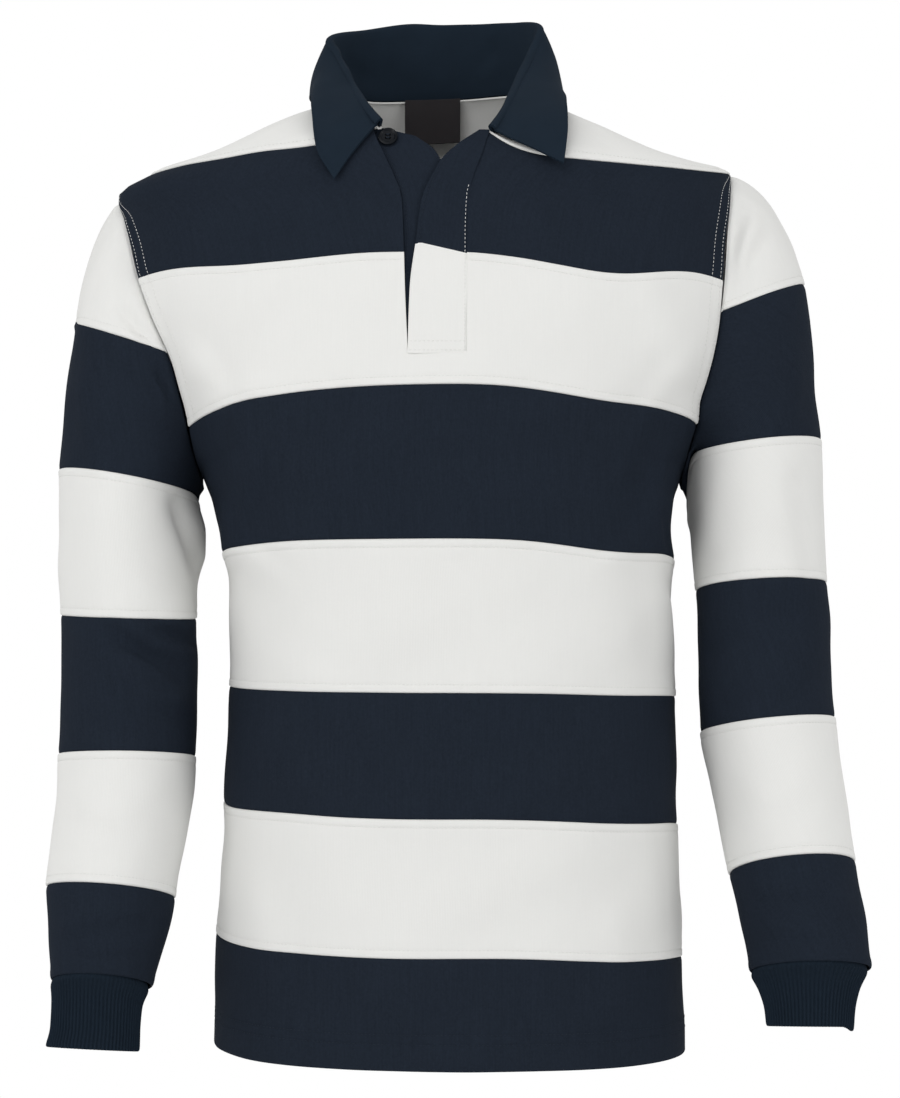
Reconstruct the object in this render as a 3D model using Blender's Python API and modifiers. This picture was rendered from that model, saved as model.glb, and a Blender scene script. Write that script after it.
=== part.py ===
"""Long-sleeved rugby shirt in broad navy and white bands, filled out as if it were worn.

Metres, +Z up. The wearer faces -Y, so the wearer's right is at -X and left at +X. The origin is the base
of the neck: midway between the high points of the shoulders, where they meet the collar.
"""

import math
from collections import namedtuple

import bmesh
import bpy
import numpy as np
from mathutils import Matrix, Vector

# Cloth
JERSEY = 0.0015  # wall of the body and sleeves
TWILL = 0.0022  # the two plies of the collar
PLACKET_PLIES = 0.0018
RIB_WALL = 0.0016  # a cuff's wall between its ribs
RIB_HEIGHT = 0.0005
RIBS = 72  # round each cuff
LABEL_THICKNESS = 0.0008

# Gaps that part neighbouring pieces
SEAM_GAP = 0.00055
YOKE_GAP = 0.0010  # on each edge of the yokes, and on the band below
SIDE_GAP = 0.0011  # where the front meets the back, round the side of the body
NECK_GAP = 0.0016
ARMHOLE_GAP = 0.0012
UNDERARM_GAP = 0.0030
SHORTEST_END = 0.0035  # a pointed panel's end, so that it doesn't run out to nothing

# Cross-section of the body: |x/a|^P + |y/b|^Q = 1
ROUND_X = 2.35
ROUND_Y = 2.25

# Seams between the body's bands, from the shoulder to the hem: height at the middle of the front and of
# the back, and where both meet at the wearer's right and left side, and how far the front's seam dips
# on its way there
Seam = namedtuple("Seam", "front back right left dip_right dip_left")
SEAMS = (
    Seam(-0.0615, -0.0580, -0.0620, -0.0596, 0, 0),
    Seam(-0.1340, -0.1400, -0.1450, -0.1470, 0.0040, 0.0105),
    Seam(-0.2300, -0.2450, -0.2555, -0.2530, 0, 0.0045),
    Seam(-0.3400, -0.3440, -0.3490, -0.3540, -0.0010, 0.0050),
    Seam(-0.4500, -0.4490, -0.4470, -0.4560, 0, 0.0010),
    Seam(-0.5400, -0.5430, -0.5340, -0.5515, -0.0015, 0.0020),
    Seam(-0.6390, -0.6420, -0.6315, -0.6510, 0, 0.0025),
    Seam(-0.7190, -0.7210, -0.7136, -0.7204, 0, 0.0010),
)
# Levels of the mesh inside each band, as a share of the band from its upper seam
BAND_LEVELS = (
    (0, 0.21, 0.47, 0.74, 1),
    (0, 0.22, 0.50, 0.75, 1),
    (0, 0.20, 0.435, 0.72, 1),
    (0, 0.50, 1),
    (0, 0.50, 1),
    (0, 0.50, 1),
    (0, 0.50, 1),
)

# The neck pulls up the front's first seam on either side of the opening, and the seam runs at a slant
NECK_PULL = {"right": 0.053, "left": 0.0375}
NECK_PULL_WIDTH = 0.044
FIRST_SEAM_SLANT = -0.035
# How far that seam rises again near the neck, and falls near the shoulder
FIRST_SEAM_WAVE = {"right": 0.0035, "left": 0.0010}

# How far the body stands out in front of and behind its side seams
Depth = namedtuple("Depth", "z front back")
DEPTHS = (
    Depth(-0.030, 0.094, 0.085),
    Depth(-0.045, 0.100, 0.092),
    Depth(-0.060, 0.106, 0.098),
    Depth(-0.100, 0.117, 0.108),
    Depth(-0.134, 0.125, 0.112),
    Depth(-0.200, 0.136, 0.115),
    Depth(-0.260, 0.140, 0.113),
    Depth(-0.340, 0.137, 0.107),
    Depth(-0.450, 0.133, 0.102),
    Depth(-0.580, 0.130, 0.102),
    Depth(-0.730, 0.129, 0.104),
)

# Sides of the body. Down to the shoulder's tip they run along its ridge, then round the armhole, whose
# front and back edges stand apart in Y, and below the underarm they are the side seams.
Side = namedtuple("Side", "z x front back")
SIDES = {
    "right": (
        Side(-0.0620, -0.2200, 0.0, 0.0),
        Side(-0.0788, -0.2416, 0.0, 0.0),
        Side(-0.1000, -0.2352, -0.037, 0.040),
        Side(-0.1427, -0.2237, -0.056, 0.061),
        Side(-0.1800, -0.2095, -0.064, 0.069),
        Side(-0.2120, -0.1965, -0.065, 0.070),
        Side(-0.2520, -0.1870, -0.055, 0.059),
        Side(-0.2780, -0.1820, -0.035, 0.038),
        Side(-0.2962, -0.1780, 0.0, 0.0),
        Side(-0.3110, -0.1720, 0.0, 0.0),
        Side(-0.3450, -0.1630, 0.0, 0.0),
        Side(-0.3830, -0.1590, 0.0, 0.0),
        Side(-0.4510, -0.1590, 0.0, 0.0),
        Side(-0.5340, -0.1625, 0.0, 0.0),
        Side(-0.6480, -0.1690, 0.0, 0.0),
        Side(-0.7200, -0.1690, 0.0, 0.0),
    ),
    "left": (
        Side(-0.0596, 0.2197, 0.0, 0.0),
        Side(-0.0780, 0.2178, -0.034, 0.037),
        Side(-0.1110, 0.2135, -0.052, 0.056),
        Side(-0.1440, 0.2105, -0.061, 0.066),
        Side(-0.1680, 0.2075, -0.065, 0.070),
        Side(-0.2000, 0.2014, -0.065, 0.070),
        Side(-0.2230, 0.1950, -0.061, 0.066),
        Side(-0.2500, 0.1870, -0.049, 0.053),
        Side(-0.2780, 0.1820, -0.030, 0.033),
        Side(-0.2963, 0.1800, 0.0, 0.0),
        Side(-0.3090, 0.1755, 0.0, 0.0),
        Side(-0.3450, 0.1735, 0.0, 0.0),
        Side(-0.4200, 0.1745, 0.0, 0.0),
        Side(-0.4890, 0.1765, 0.0, 0.0),
        Side(-0.5720, 0.1800, 0.0, 0.0),
        Side(-0.6480, 0.1820, 0.0, 0.0),
        Side(-0.7220, 0.1830, 0.0, 0.0),
    ),
}
# Levels of the body where the shoulder's tip and the underarm lie, and where the sleeve's first seam
# runs into the armhole
ARMHOLE_LEVELS = {
    "right": (0.21, 0.47, 0.74, 1, 1.22, 1.50, 1.75, 2, 2.20, 2.435),
    "left": (0, 0.21, 0.47, 0.74, 1, 1.22, 1.50, 1.75, 2, 2.20, 2.435),
}
CAP_COLUMNS = 5

# Ridge of each shoulder, from the first seam up to the neck
RIDGES = {
    "right": ((-0.2200, -0.0620), (-0.1704, -0.0485), (-0.1325, -0.0325), (-0.1007, -0.0115), (-0.0715, 0.0)),
    "left": ((0.2197, -0.0596), (0.1758, -0.0475), (0.1364, -0.0350), (0.0980, -0.0145), (0.0700, 0.0)),
}

# Way in which the cloth of each yoke runs where it reaches the ridge and the neck
RIDGE_RUN = {"front": (0.0, 1.0, 0.12), "back": (0.0, -1.0, 0.12)}
NECK_RUN = {"front": (0.0, 0.3, 0.95), "back": (0.0, -0.5, 0.86)}
YOKE_STIFFNESS = {"front": 0.45, "back": 0.9}  # how far the yoke goes on rising from its seam
SHORT_YOKE = 0.05  # least distance that it goes on rising, where it is long enough
RIDGE_STIFFNESS = 0.9  # how far it keeps its way where it ends
YOKE_RISE = 2.0  # how far above its seam it goes on rising as steeply as the body

# Collar, from the end at the wearer's right round the back of the neck to the other end: the seam that
# joins it to the body, the fold at its top, and the leaf's free edge
Collar = namedtuple("Collar", "seam fold edge")
COLLAR = (
    Collar((-0.0430, -0.0965, -0.0390), (-0.0445, -0.1040, -0.0358), (-0.0758, -0.1145, -0.0803)),
    Collar((-0.0605, -0.0680, -0.0260), (-0.0560, -0.0740, -0.0150), (-0.0882, -0.1060, -0.0580)),
    Collar((-0.0690, -0.0340, -0.0105), (-0.0675, -0.0340, 0.0110), (-0.0940, -0.0700, -0.0220)),
    Collar((-0.0715, 0.0000, 0.0000), (-0.0780, -0.0030, 0.0340), (-0.0970, -0.0200, -0.0010)),
    Collar((-0.0690, 0.0300, 0.0050), (-0.0845, 0.0200, 0.0500), (-0.0980, 0.0330, 0.0020)),
    Collar((-0.0530, 0.0600, 0.0075), (-0.0590, 0.0640, 0.0630), (-0.0770, 0.0900, 0.0010)),
    Collar((-0.0240, 0.0735, 0.0100), (-0.0249, 0.0810, 0.0703), (-0.0320, 0.1090, -0.0040)),
    Collar((0.0010, 0.0755, 0.0110), (0.0000, 0.0840, 0.0715), (0.0000, 0.1120, -0.0050)),
    Collar((0.0240, 0.0735, 0.0120), (0.0240, 0.0820, 0.0730), (0.0310, 0.1095, -0.0040)),
    Collar((0.0520, 0.0590, 0.0120), (0.0560, 0.0630, 0.0700), (0.0730, 0.0880, 0.0020)),
    Collar((0.0680, 0.0300, 0.0070), (0.0770, 0.0240, 0.0605), (0.0925, 0.0340, 0.0060)),
    Collar((0.0700, 0.0000, 0.0000), (0.0690, -0.0030, 0.0340), (0.0940, -0.0180, 0.0000)),
    Collar((0.0660, -0.0340, -0.0135), (0.0585, -0.0340, 0.0080), (0.0930, -0.0660, -0.0200)),
    Collar((0.0560, -0.0680, -0.0300), (0.0490, -0.0700, -0.0170), (0.0925, -0.0960, -0.0430)),
    Collar((0.0385, -0.0960, -0.0443), (0.0385, -0.1030, -0.0395), (0.0892, -0.1145, -0.0690)),
)
HIGH_POINTS = {"right": 3, "left": 11}  # rows of COLLAR at the top of each shoulder
COLLAR_STEPS = 2  # columns of the mesh for each row
FOLD_RADIUS = 0.0026
LEAF_BULGE = 0.0035

# Edges of the opening down the front, at each height: where the body ends on either side of it
Opening = namedtuple("Opening", "z right left")
OPENING = (
    Opening(-0.036, -0.0500, 0.0385),
    Opening(-0.048, -0.0460, 0.0345),
    Opening(-0.062, -0.0395, 0.0300),
    Opening(-0.074, -0.0340, 0.0255),
    Opening(-0.092, -0.0262, 0.0212),
    Opening(-0.120, -0.0240, 0.0200),
    Opening(-0.208, -0.0226, 0.0196),
)
# Free edges of the placket: its button side, which lies under, and its buttonhole side, which lies over
FreeEdge = namedtuple("FreeEdge", "z x")
UNDERLAP_EDGE = (
    FreeEdge(-0.0462, -0.0180),
    FreeEdge(-0.0504, -0.0118),
    FreeEdge(-0.0569, -0.0039),
    FreeEdge(-0.0655, 0.0011),
    FreeEdge(-0.0800, 0.0090),
    FreeEdge(-0.1000, 0.0135),
    FreeEdge(-0.2070, 0.0150),
)
OVERLAP_EDGE = (
    FreeEdge(-0.0420, 0.0290),
    FreeEdge(-0.0530, 0.0134),
    FreeEdge(-0.0655, 0.0010),
    FreeEdge(-0.0740, -0.0035),
    FreeEdge(-0.0864, -0.0097),
    FreeEdge(-0.0986, -0.0133),
    FreeEdge(-0.1220, -0.0160),
    FreeEdge(-0.1586, -0.0206),
    FreeEdge(-0.2070, -0.0222),
)
PLACKET_LEVEL = 1.75  # level of the body where the opening ends
LEVELS_BESIDE_PLACKET = (0, 0.21, 0.47, 0.74, 1, 1.22, 1.50, PLACKET_LEVEL)

# Sleeves at each seam, from the first that runs all round to the cuff's two ends: the outermost and
# innermost points as seen from the front, the middle's Y, half the depth, and how far the seam's front
# stands above its sides. sag is how much lower the seam hangs just behind its innermost point, out of
# sight under the arm.
Ring = namedtuple("Ring", "outer_x outer_z inner_x inner_z y depth lift sag")
SLEEVES = {
    "right": (
        Ring(-0.2875, -0.2850, -0.1820, -0.3035, -0.002, 0.070, 0.004, 0.006),
        Ring(-0.2855, -0.3940, -0.1822, -0.3970, -0.012, 0.064, -0.001, 0),
        Ring(-0.2830, -0.4980, -0.1822, -0.4990, -0.030, 0.057, 0.006, 0),
        Ring(-0.2885, -0.5950, -0.1950, -0.6020, -0.052, 0.050, 0.011, 0),
        Ring(-0.2850, -0.6620, -0.2120, -0.6650, -0.067, 0.042, 0.012, 0),
    ),
    "left": (
        Ring(0.2880, -0.2625, 0.1860, -0.2740, -0.002, 0.070, 0.004, 0.036),
        Ring(0.2905, -0.3705, 0.1920, -0.3750, -0.012, 0.064, 0.006, 0),
        Ring(0.2955, -0.4710, 0.1960, -0.4805, -0.030, 0.057, 0.008, 0),
        Ring(0.3060, -0.5770, 0.2130, -0.5840, -0.055, 0.050, 0.014, 0),
        Ring(0.3140, -0.6530, 0.2260, -0.6540, -0.073, 0.043, 0.012, 0),
    ),
}
CUFFS = {
    "right": (
        Ring(-0.2835, -0.6635, -0.2132, -0.6665, -0.0675, 0.040, 0.012, 0),
        Ring(-0.2825, -0.6780, -0.2185, -0.6810, -0.0700, 0.029, 0.010, 0),
        Ring(-0.2830, -0.6950, -0.2195, -0.6980, -0.0730, 0.025, 0.006, 0),
        Ring(-0.2860, -0.7080, -0.2195, -0.7115, -0.0760, 0.024, 0.003, 0),
    ),
    "left": (
        Ring(0.3120, -0.6545, 0.2275, -0.6555, -0.0735, 0.041, 0.012, 0),
        Ring(0.3050, -0.6680, 0.2340, -0.6680, -0.0760, 0.030, 0.010, 0),
        Ring(0.3015, -0.6810, 0.2375, -0.6810, -0.0790, 0.025, 0.006, 0),
        Ring(0.3000, -0.6930, 0.2385, -0.6925, -0.0810, 0.024, 0.003, 0),
    ),
}
SAG_ANGLE = math.radians(186)
SAG_WIDTH = math.radians(14)
# Where the sleeve's first seam meets its outer silhouette
FIRST_SLEEVE_SEAM = {"right": (-0.2780, -0.1750), "left": (0.2740, -0.1450)}
# Direction in which a sleeve leaves the shoulder's tip, as seen from the front: outward and up
CAP_SLOPE = {"right": (0.64, -0.77), "left": (0.93, -0.37)}
CAP_BULGE = 0.35  # how far it bulges to the front and back there
CAP_FLARE = 0.10  # how far it still runs outward where it reaches the first seam that runs all round
CAP_LENGTH = 0.1  # from the armhole to the first seam that runs all round
CAP_LEVELS = (0, 0.3, 0.65, 1)
UPPER_BAND_LEVELS = (0, 0.25, 0.5, 0.75, 1)

# Largest folds of the front and back, from point to point as seen from the front
Fold = namedtuple("Fold", "x1 z1 x2 z2 width height")
FOLDS = {
    "front": (
        Fold(-0.135, -0.235, -0.152, -0.345, 0.014, 0.0050),
        Fold(0.183, -0.250, 0.160, -0.310, 0.012, 0.0050),
        Fold(0.160, -0.310, 0.168, -0.350, 0.012, 0.0040),
        Fold(0.158, -0.370, 0.166, -0.450, 0.012, 0.0025),
        Fold(-0.120, -0.150, -0.170, -0.215, 0.016, 0.0030),
        Fold(0.150, -0.150, 0.176, -0.215, 0.016, 0.0030),
        Fold(0.156, -0.560, 0.163, -0.690, 0.014, 0.0025),
    ),
    "back": (
        Fold(-0.150, -0.180, -0.120, -0.330, 0.018, 0.0050),
        Fold(0.150, -0.170, 0.125, -0.320, 0.018, 0.0050),
        Fold(-0.060, -0.430, 0.050, -0.470, 0.020, 0.0035),
        Fold(0.090, -0.500, 0.140, -0.600, 0.018, 0.0035),
    ),
}
# Folds round a sleeve: the angle and level of each end (0 outside, 90 in front, 180 inside), its width
# and height
Crease = namedtuple("Crease", "angle1 level1 angle2 level2 width height")
CREASES = {
    "right": (
        Crease(152, 0.14, 157, 0.58, 0.009, -0.0045),
        Crease(176, 0.28, 182, 0.44, 0.018, 0.0070),
        Crease(178, 0.84, 190, 1.10, 0.013, -0.0025),
        Crease(86, 1.14, 142, 1.38, 0.010, -0.0045),
        Crease(78, 1.32, 138, 1.60, 0.011, 0.0030),
        Crease(120, 1.08, 170, 1.17, 0.008, -0.0030),
        Crease(220, 1.15, 320, 1.40, 0.013, 0.0045),
        Crease(60, 3.45, 130, 3.20, 0.012, 0.0025),
        Crease(240, 3.30, 320, 3.55, 0.012, 0.0035),
    ),
    "left": (
        Crease(60, 0.35, 48, 0.95, 0.012, -0.0025),
        Crease(176, 0.14, 188, 0.25, 0.009, 0.0045),
        Crease(130, 0.10, 140, 0.60, 0.014, 0.0025),
        Crease(75, 1.30, 150, 1.45, 0.012, -0.0025),
        Crease(220, 1.20, 320, 1.45, 0.013, 0.0045),
        Crease(60, 3.40, 130, 3.20, 0.012, 0.0025),
        Crease(240, 3.30, 320, 3.55, 0.012, 0.0035),
    ),
}
SLEEVE_GIRTH = 0.055  # radius that turns an angle round a sleeve into a distance
SLEEVE_BAND = 0.100

# Columns of the mesh
FRONT_COLUMNS = 8  # on each side of the opening
OPENING_COLUMNS = 3
PLACKET_COLUMNS = 4
BACK_COLUMNS = 18
YOKE_LEVELS = (1, 0.75, 0.5, 0.28, 0.1, 0)  # from the neck down
RIDGE_COLUMNS = {"front": 5, "back": 6}  # of a yoke's columns, those that end on the shoulder's ridge

# Button and label
BUTTON_CENTRE = (-0.0376, -0.0475)
BUTTON_RADIUS = 0.00725
BUTTON_HOLE_RADIUS = 0.0009
BUTTON_HOLE_PITCH = 0.0027
BUTTON_PROFILE = (  # radius and height
    (0.0, 0.0),
    (0.0052, 0.0),
    (0.0068, 0.0007),
    (BUTTON_RADIUS, 0.0016),
    (0.0069, 0.0026),
    (0.0061, 0.0029),
    (0.0051, 0.0024),
    (0.0046, 0.0020),
    (0.0, 0.0019),
)
LABEL_RIGHT, LABEL_LEFT = -0.0277, 0.0155
LABEL_ROWS = (5, 9)  # rows of COLLAR between which it hangs
LABEL_HEIGHT = 0.0345
LABEL_SETBACK = 0.0044  # from the neck seam to the label, which hangs inside it

COLOURS = {
    "navy": (0.0144, 0.0232, 0.0331),
    "white": (0.80, 0.80, 0.78),
    "twill": (0.0168, 0.0290, 0.0400),
    "rib": (0.0120, 0.0180, 0.0260),
    "button": (0.0160, 0.0220, 0.0300),
    "label": (0.0300, 0.0280, 0.0300),
}


def through(xs, ys, x):
    """The value at x of a smooth curve through points, which doesn't overshoot between them."""
    xs, ys = np.asarray(xs, float), np.asarray(ys, float)
    if xs[0] > xs[-1]:
        xs, ys = xs[::-1], ys[::-1]
    x = min(max(x, xs[0]), xs[-1])
    steps, slopes = np.diff(xs), np.diff(ys) / np.diff(xs)
    tangents = np.zeros(len(xs))
    tangents[0], tangents[-1] = slopes[0], slopes[-1]
    for i in range(1, len(xs) - 1):
        if slopes[i - 1] * slopes[i] > 0:
            before, after = steps[i - 1] + 2 * steps[i], 2 * steps[i - 1] + steps[i]
            tangents[i] = (before + after) / (before / slopes[i] + after / slopes[i - 1])
    i = int(min(max(np.searchsorted(xs, x) - 1, 0), len(xs) - 2))
    return hermite(
        ys[i], tangents[i] * steps[i], ys[i + 1], tangents[i + 1] * steps[i], (x - xs[i]) / steps[i]
    )


def hermite(start, start_tangent, end, end_tangent, t):
    """A point of the cubic between two ends with a given tangent at each."""
    return (
        (2 * t**3 - 3 * t**2 + 1) * start
        + (t**3 - 2 * t**2 + t) * start_tangent
        + (3 * t**2 - 2 * t**3) * end
        + (t**3 - t**2) * end_tangent
    )


def column(rows, key, at, name):
    """One named column of a table, at any value of the column key."""
    return through([getattr(r, key) for r in rows], [getattr(r, name) for r in rows], at)


def vector(rows, name, index):
    """A table's column of points, at any place between its rows, on a smooth curve."""
    points = np.array([getattr(r, name) for r in rows])
    i = int(min(max(math.floor(index), 0), len(points) - 2))
    before = points[i - 1] if i > 0 else 2 * points[0] - points[1]
    after = points[i + 2] if i + 2 < len(points) else 2 * points[-1] - points[-2]
    start, end = (points[i + 1] - before) / 2, (after - points[i]) / 2
    return hermite(points[i], start, points[i + 1], end, index - i)


def unit(v):
    return v / max(np.linalg.norm(v), 1e-9)


# ---------------------------------------------------------------- body


def seam_height(station, name):
    """A height or dip at the body's level, where 0, 1, 2... are the seams and between them are the bands."""
    i = int(min(max(math.floor(station), 0), len(SEAMS) - 2))
    above, below = getattr(SEAMS[i], name), getattr(SEAMS[i + 1], name)
    return above + (below - above) * (station - i)


class Level:
    """One level round the front or back of the body, between its two sides."""

    def __init__(self, face, station):
        self.face, self.z = face, seam_height(station, face)
        self.out = -1 if face == "front" else 1
        self.near_neck = max(1 - station, 0) ** 2 if face == "front" else 0.0
        self.side_z = {side: seam_height(station, side) for side in SIDES}
        self.dip = {side: seam_height(station, "dip_" + side) if face == "front" else 0.0 for side in SIDES}
        ends = {side: column(SIDES[side], "z", z, "x") for side, z in self.side_z.items()}
        self.middle = sum(ends.values()) / 2
        self.reach, self.half = {}, {}
        for side, z in self.side_z.items():
            edge_y = abs(column(SIDES[side], "z", z, face))
            depth = column(DEPTHS, "z", z, face)
            self.reach[side] = (1 - (edge_y / depth) ** ROUND_Y) ** (1 / ROUND_X)
            self.half[side] = abs(ends[side] - self.middle) / self.reach[side]

    def end(self, side):
        """The angle at which the level ends, at an armhole or a side seam."""
        angle = math.asin(min(self.reach[side], 1))
        return -angle if side == "right" else angle

    def angle(self, x):
        """The angle at which the level passes x."""
        side = "right" if x < self.middle else "left"
        return math.asin((x - self.middle) / self.half[side])

    def height(self, angle):
        side = "right" if angle < 0 else "left"
        x, share = self.half[side] * math.sin(angle), min(abs(angle / self.end(side)), 1)
        way = share**2
        pull = NECK_PULL[side] * math.exp(-((x / NECK_PULL_WIDTH) ** 2)) + FIRST_SEAM_SLANT * x * (1 - way)
        pull += FIRST_SEAM_WAVE[side] * math.sin(2 * math.pi * share)
        dip = self.dip[side] * math.sin(math.pi * share) ** 4
        return self.z + (self.side_z[side] - self.z) * way + self.near_neck * pull - dip

    def point(self, angle, lift=0.0, z=None):
        """A point of the level, or of another height z above or below it."""
        side = "right" if angle < 0 else "left"
        across = math.sin(angle)
        z = self.height(angle) if z is None else z
        depth = column(DEPTHS, "z", z, self.face)
        round_y = max(1 - abs(across) ** ROUND_X, 0) ** (1 / ROUND_Y)
        point = np.array((self.middle + self.half[side] * across, self.out * depth * round_y, z))
        outward = unit(np.array((across / self.half[side], self.out * round_y / depth, 0)))
        return point + outward * (lift + fold_height(self.face, point))


def fold_height(face, point):
    """How far the folds of the front or back raise the cloth here."""
    total, here = 0.0, np.array((point[0], point[2]))
    for fold in FOLDS[face]:
        start, end = np.array((fold.x1, fold.z1)), np.array((fold.x2, fold.z2))
        along = np.dot(here - start, end - start) / np.dot(end - start, end - start)
        nearest = start + (end - start) * min(max(along, 0), 1)
        total += fold.height * math.exp(-((np.linalg.norm(here - nearest) / fold.width) ** 2))
    return total


def opening_angle(level, side):
    """The angle at which the front ends beside the opening, at the height that the level has there."""
    z = level.z
    for _ in range(12):
        angle = level.angle(column(OPENING, "z", z, side))
        z = (z + level.height(angle)) / 2
    return angle


def spread(start, end, count):
    return [start + (end - start) * i / count for i in range(count + 1)]


def front_angles(level):
    """Angles of the front's columns: the wearer's right, the opening, and the left."""
    right, left = opening_angle(level, "right"), opening_angle(level, "left")
    return (
        spread(level.end("right"), right, FRONT_COLUMNS)[:-1]
        + spread(right, left, OPENING_COLUMNS)[:-1]
        + spread(left, level.end("left"), FRONT_COLUMNS)
    )


def stations(band):
    return [band + share for share in BAND_LEVELS[band]]


def front_grid(band):
    levels = [Level("front", station) for station in stations(band)]
    return np.array([[level.point(angle) for angle in front_angles(level)] for level in levels])


def back_grid(band):
    """The back runs from the wearer's left to right, so that its faces point out."""
    levels = [Level("back", station) for station in stations(band)]
    return np.array(
        [[lv.point(a) for a in spread(lv.end("left"), lv.end("right"), BACK_COLUMNS)] for lv in levels]
    )


# ---------------------------------------------------------------- yoke


def ridge_point(side, share):
    """A point of the shoulder's ridge, from the first seam, 0, to the neck, 1."""
    xs = [p[0] for p in RIDGES[side]]
    x = xs[0] + (xs[-1] - xs[0]) * share
    return np.array((x, 0.0, through(xs, [p[1] for p in RIDGES[side]], x)))


def yoke_top(face, side, share):
    """A point of the yoke's upper edge and the way the cloth runs there.

    The edge follows the shoulder's ridge and then the neck, to the opening in front or to the middle of
    the back.
    """
    columns = BACK_COLUMNS / 2 if face == "back" else FRONT_COLUMNS
    ridge_share = RIDGE_COLUMNS[face] / columns
    ridge_run, neck_run = np.array(RIDGE_RUN[face]), np.array(NECK_RUN[face])
    if share <= ridge_share:
        shortest = SHORTEST_END / abs(RIDGES[side][0][0] - RIDGES[side][-1][0])
        along = shortest + (1 - shortest) * share / ridge_share
        return ridge_point(side, along), ridge_run
    along = (share - ridge_share) / (1 - ridge_share)
    high, last = HIGH_POINTS[side], len(COLLAR) - 1
    front_end = 0 if side == "right" else last
    goal = front_end if face == "front" else last / 2
    point = vector(COLLAR, "seam", high + (goal - high) * along)
    return point, unit((1 - along) * ridge_run + along * neck_run)


def yoke_column(face, side, share):
    """Points of the yoke from the neck down to its seam: share runs from the shoulder inwards."""
    ends = []
    for level in (Level(face, 0), Level(face, BAND_LEVELS[0][1])):
        inner = opening_angle(level, side) if face == "front" else 0.0
        ends.append(level.point(level.end(side) + (inner - level.end(side)) * share))
    start, under = ends
    end, run = yoke_top(face, side, share)
    length = np.linalg.norm(end - start)
    reach = RIDGE_STIFFNESS * length
    stiff = min(reach, max(YOKE_STIFFNESS[face] * length, SHORT_YOKE))
    rise = unit(start - under)
    strength = min(stiff, YOKE_RISE * max(end[2] - start[2], 0.001) / max(rise[2], 0.1))
    low, high = YOKE_GAP / max(strength, SHORTEST_END), 1 - YOKE_GAP / reach
    return [hermite(start, rise * strength, end, run * reach, low + (high - low) * h) for h in YOKE_LEVELS]


def yoke_grid(face, side, columns):
    """A yoke from the shoulder inwards, already a gap away from its seam and from its upper edge."""
    return np.array([yoke_column(face, side, share) for share in spread(0, 1, columns)]).transpose(1, 0, 2)


# ---------------------------------------------------------------- sleeves


def armhole_point(side, face, station):
    level = Level(face, station)
    return level.point(level.end(side))


def round_angles(side, face):
    """The angle round the sleeve that belongs to each point of the armhole, by length along it."""
    points = [armhole_point(side, face, station) for station in ARMHOLE_LEVELS[side]]
    lengths = np.cumsum([0] + [np.linalg.norm(b - a) for a, b in zip(points, points[1:])])
    turn = math.pi * lengths / lengths[-1]
    return list(turn if face == "front" else 2 * math.pi - turn)


def ring_point(rings, index, angle, lift=0.0):
    """A point of a sleeve or cuff: angle 0 is outermost, a quarter turn is in front."""
    index = min(max(index, 0), len(rings) - 1)
    at = Ring(*(through(range(len(rings)), [r[i] for r in rings], index) for i in range(len(Ring._fields))))
    outer, inner = np.array((at.outer_x, at.y, at.outer_z)), np.array((at.inner_x, at.y, at.inner_z))
    middle, wide = (outer + inner) / 2, (outer - inner) / 2
    deep = np.array((0, -at.depth, at.lift))
    offset = wide * math.cos(angle) + deep * math.sin(angle)
    offset[2] -= at.sag * math.exp(-(((angle - SAG_ANGLE) / SAG_WIDTH) ** 2))
    normal = unit(wide / np.dot(wide, wide) * math.cos(angle) + deep / np.dot(deep, deep) * math.sin(angle))
    return middle + offset + normal * lift


def crease_height(side, angle, level):
    total = 0.0
    here = np.array((angle * SLEEVE_GIRTH, level * SLEEVE_BAND))
    for crease in CREASES[side]:
        start = np.array((math.radians(crease.angle1) * SLEEVE_GIRTH, crease.level1 * SLEEVE_BAND))
        end = np.array((math.radians(crease.angle2) * SLEEVE_GIRTH, crease.level2 * SLEEVE_BAND))
        along = np.dot(here - start, end - start) / np.dot(end - start, end - start)
        nearest = start + (end - start) * min(max(along, 0), 1)
        total += crease.height * math.exp(-((np.linalg.norm(here - nearest) / crease.width) ** 2))
    return total


def sleeve_point(side, face, station, angle, level):
    """A point of the sleeve: level -1 is the armhole, 0 and up are the seams that run all round."""
    if level >= 0:
        return ring_point(SLEEVES[side], level, angle, crease_height(side, angle, level))
    start, end = armhole_point(side, face, station), ring_point(SLEEVES[side], 0, angle)
    reach = np.linalg.norm(end - start)
    around = (1 - math.cos(angle)) / 2  # 0 at the shoulder's tip, 1 at the underarm
    outward, up = CAP_SLOPE[side]
    outward = math.copysign(outward, SLEEVES[side][0].outer_x) * (1 - around) ** 0.5
    leave = unit(np.array((outward, -CAP_BULGE * math.sin(angle), up)))
    arrive = np.array((math.copysign(CAP_FLARE, SLEEVES[side][0].outer_x) * (1 - around), 0, -1))
    return hermite(start, leave * reach, end, arrive * reach, 1 + level)


def first_seam_level(side, face, station, angle):
    """The level at which a column of the sleeve crosses the first seam, a flat cut through the cap."""
    outer_x, outer_z = FIRST_SLEEVE_SEAM[side]
    inner = armhole_point(side, "front", ARMHOLE_LEVELS[side][CAP_COLUMNS])
    slope = (inner[2] - outer_z) / (inner[0] - outer_x)
    low, high = -1.0, 0.0
    for _ in range(30):
        middle = (low + high) / 2
        point = sleeve_point(side, face, station, angle, middle)
        if point[2] > outer_z + slope * (point[0] - outer_x):
            low = middle
        else:
            high = middle
    start = armhole_point(side, face, station)
    end = ring_point(SLEEVES[side], 0, angle)
    return max(low, SHORTEST_END / np.linalg.norm(end - start) - 1)


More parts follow.
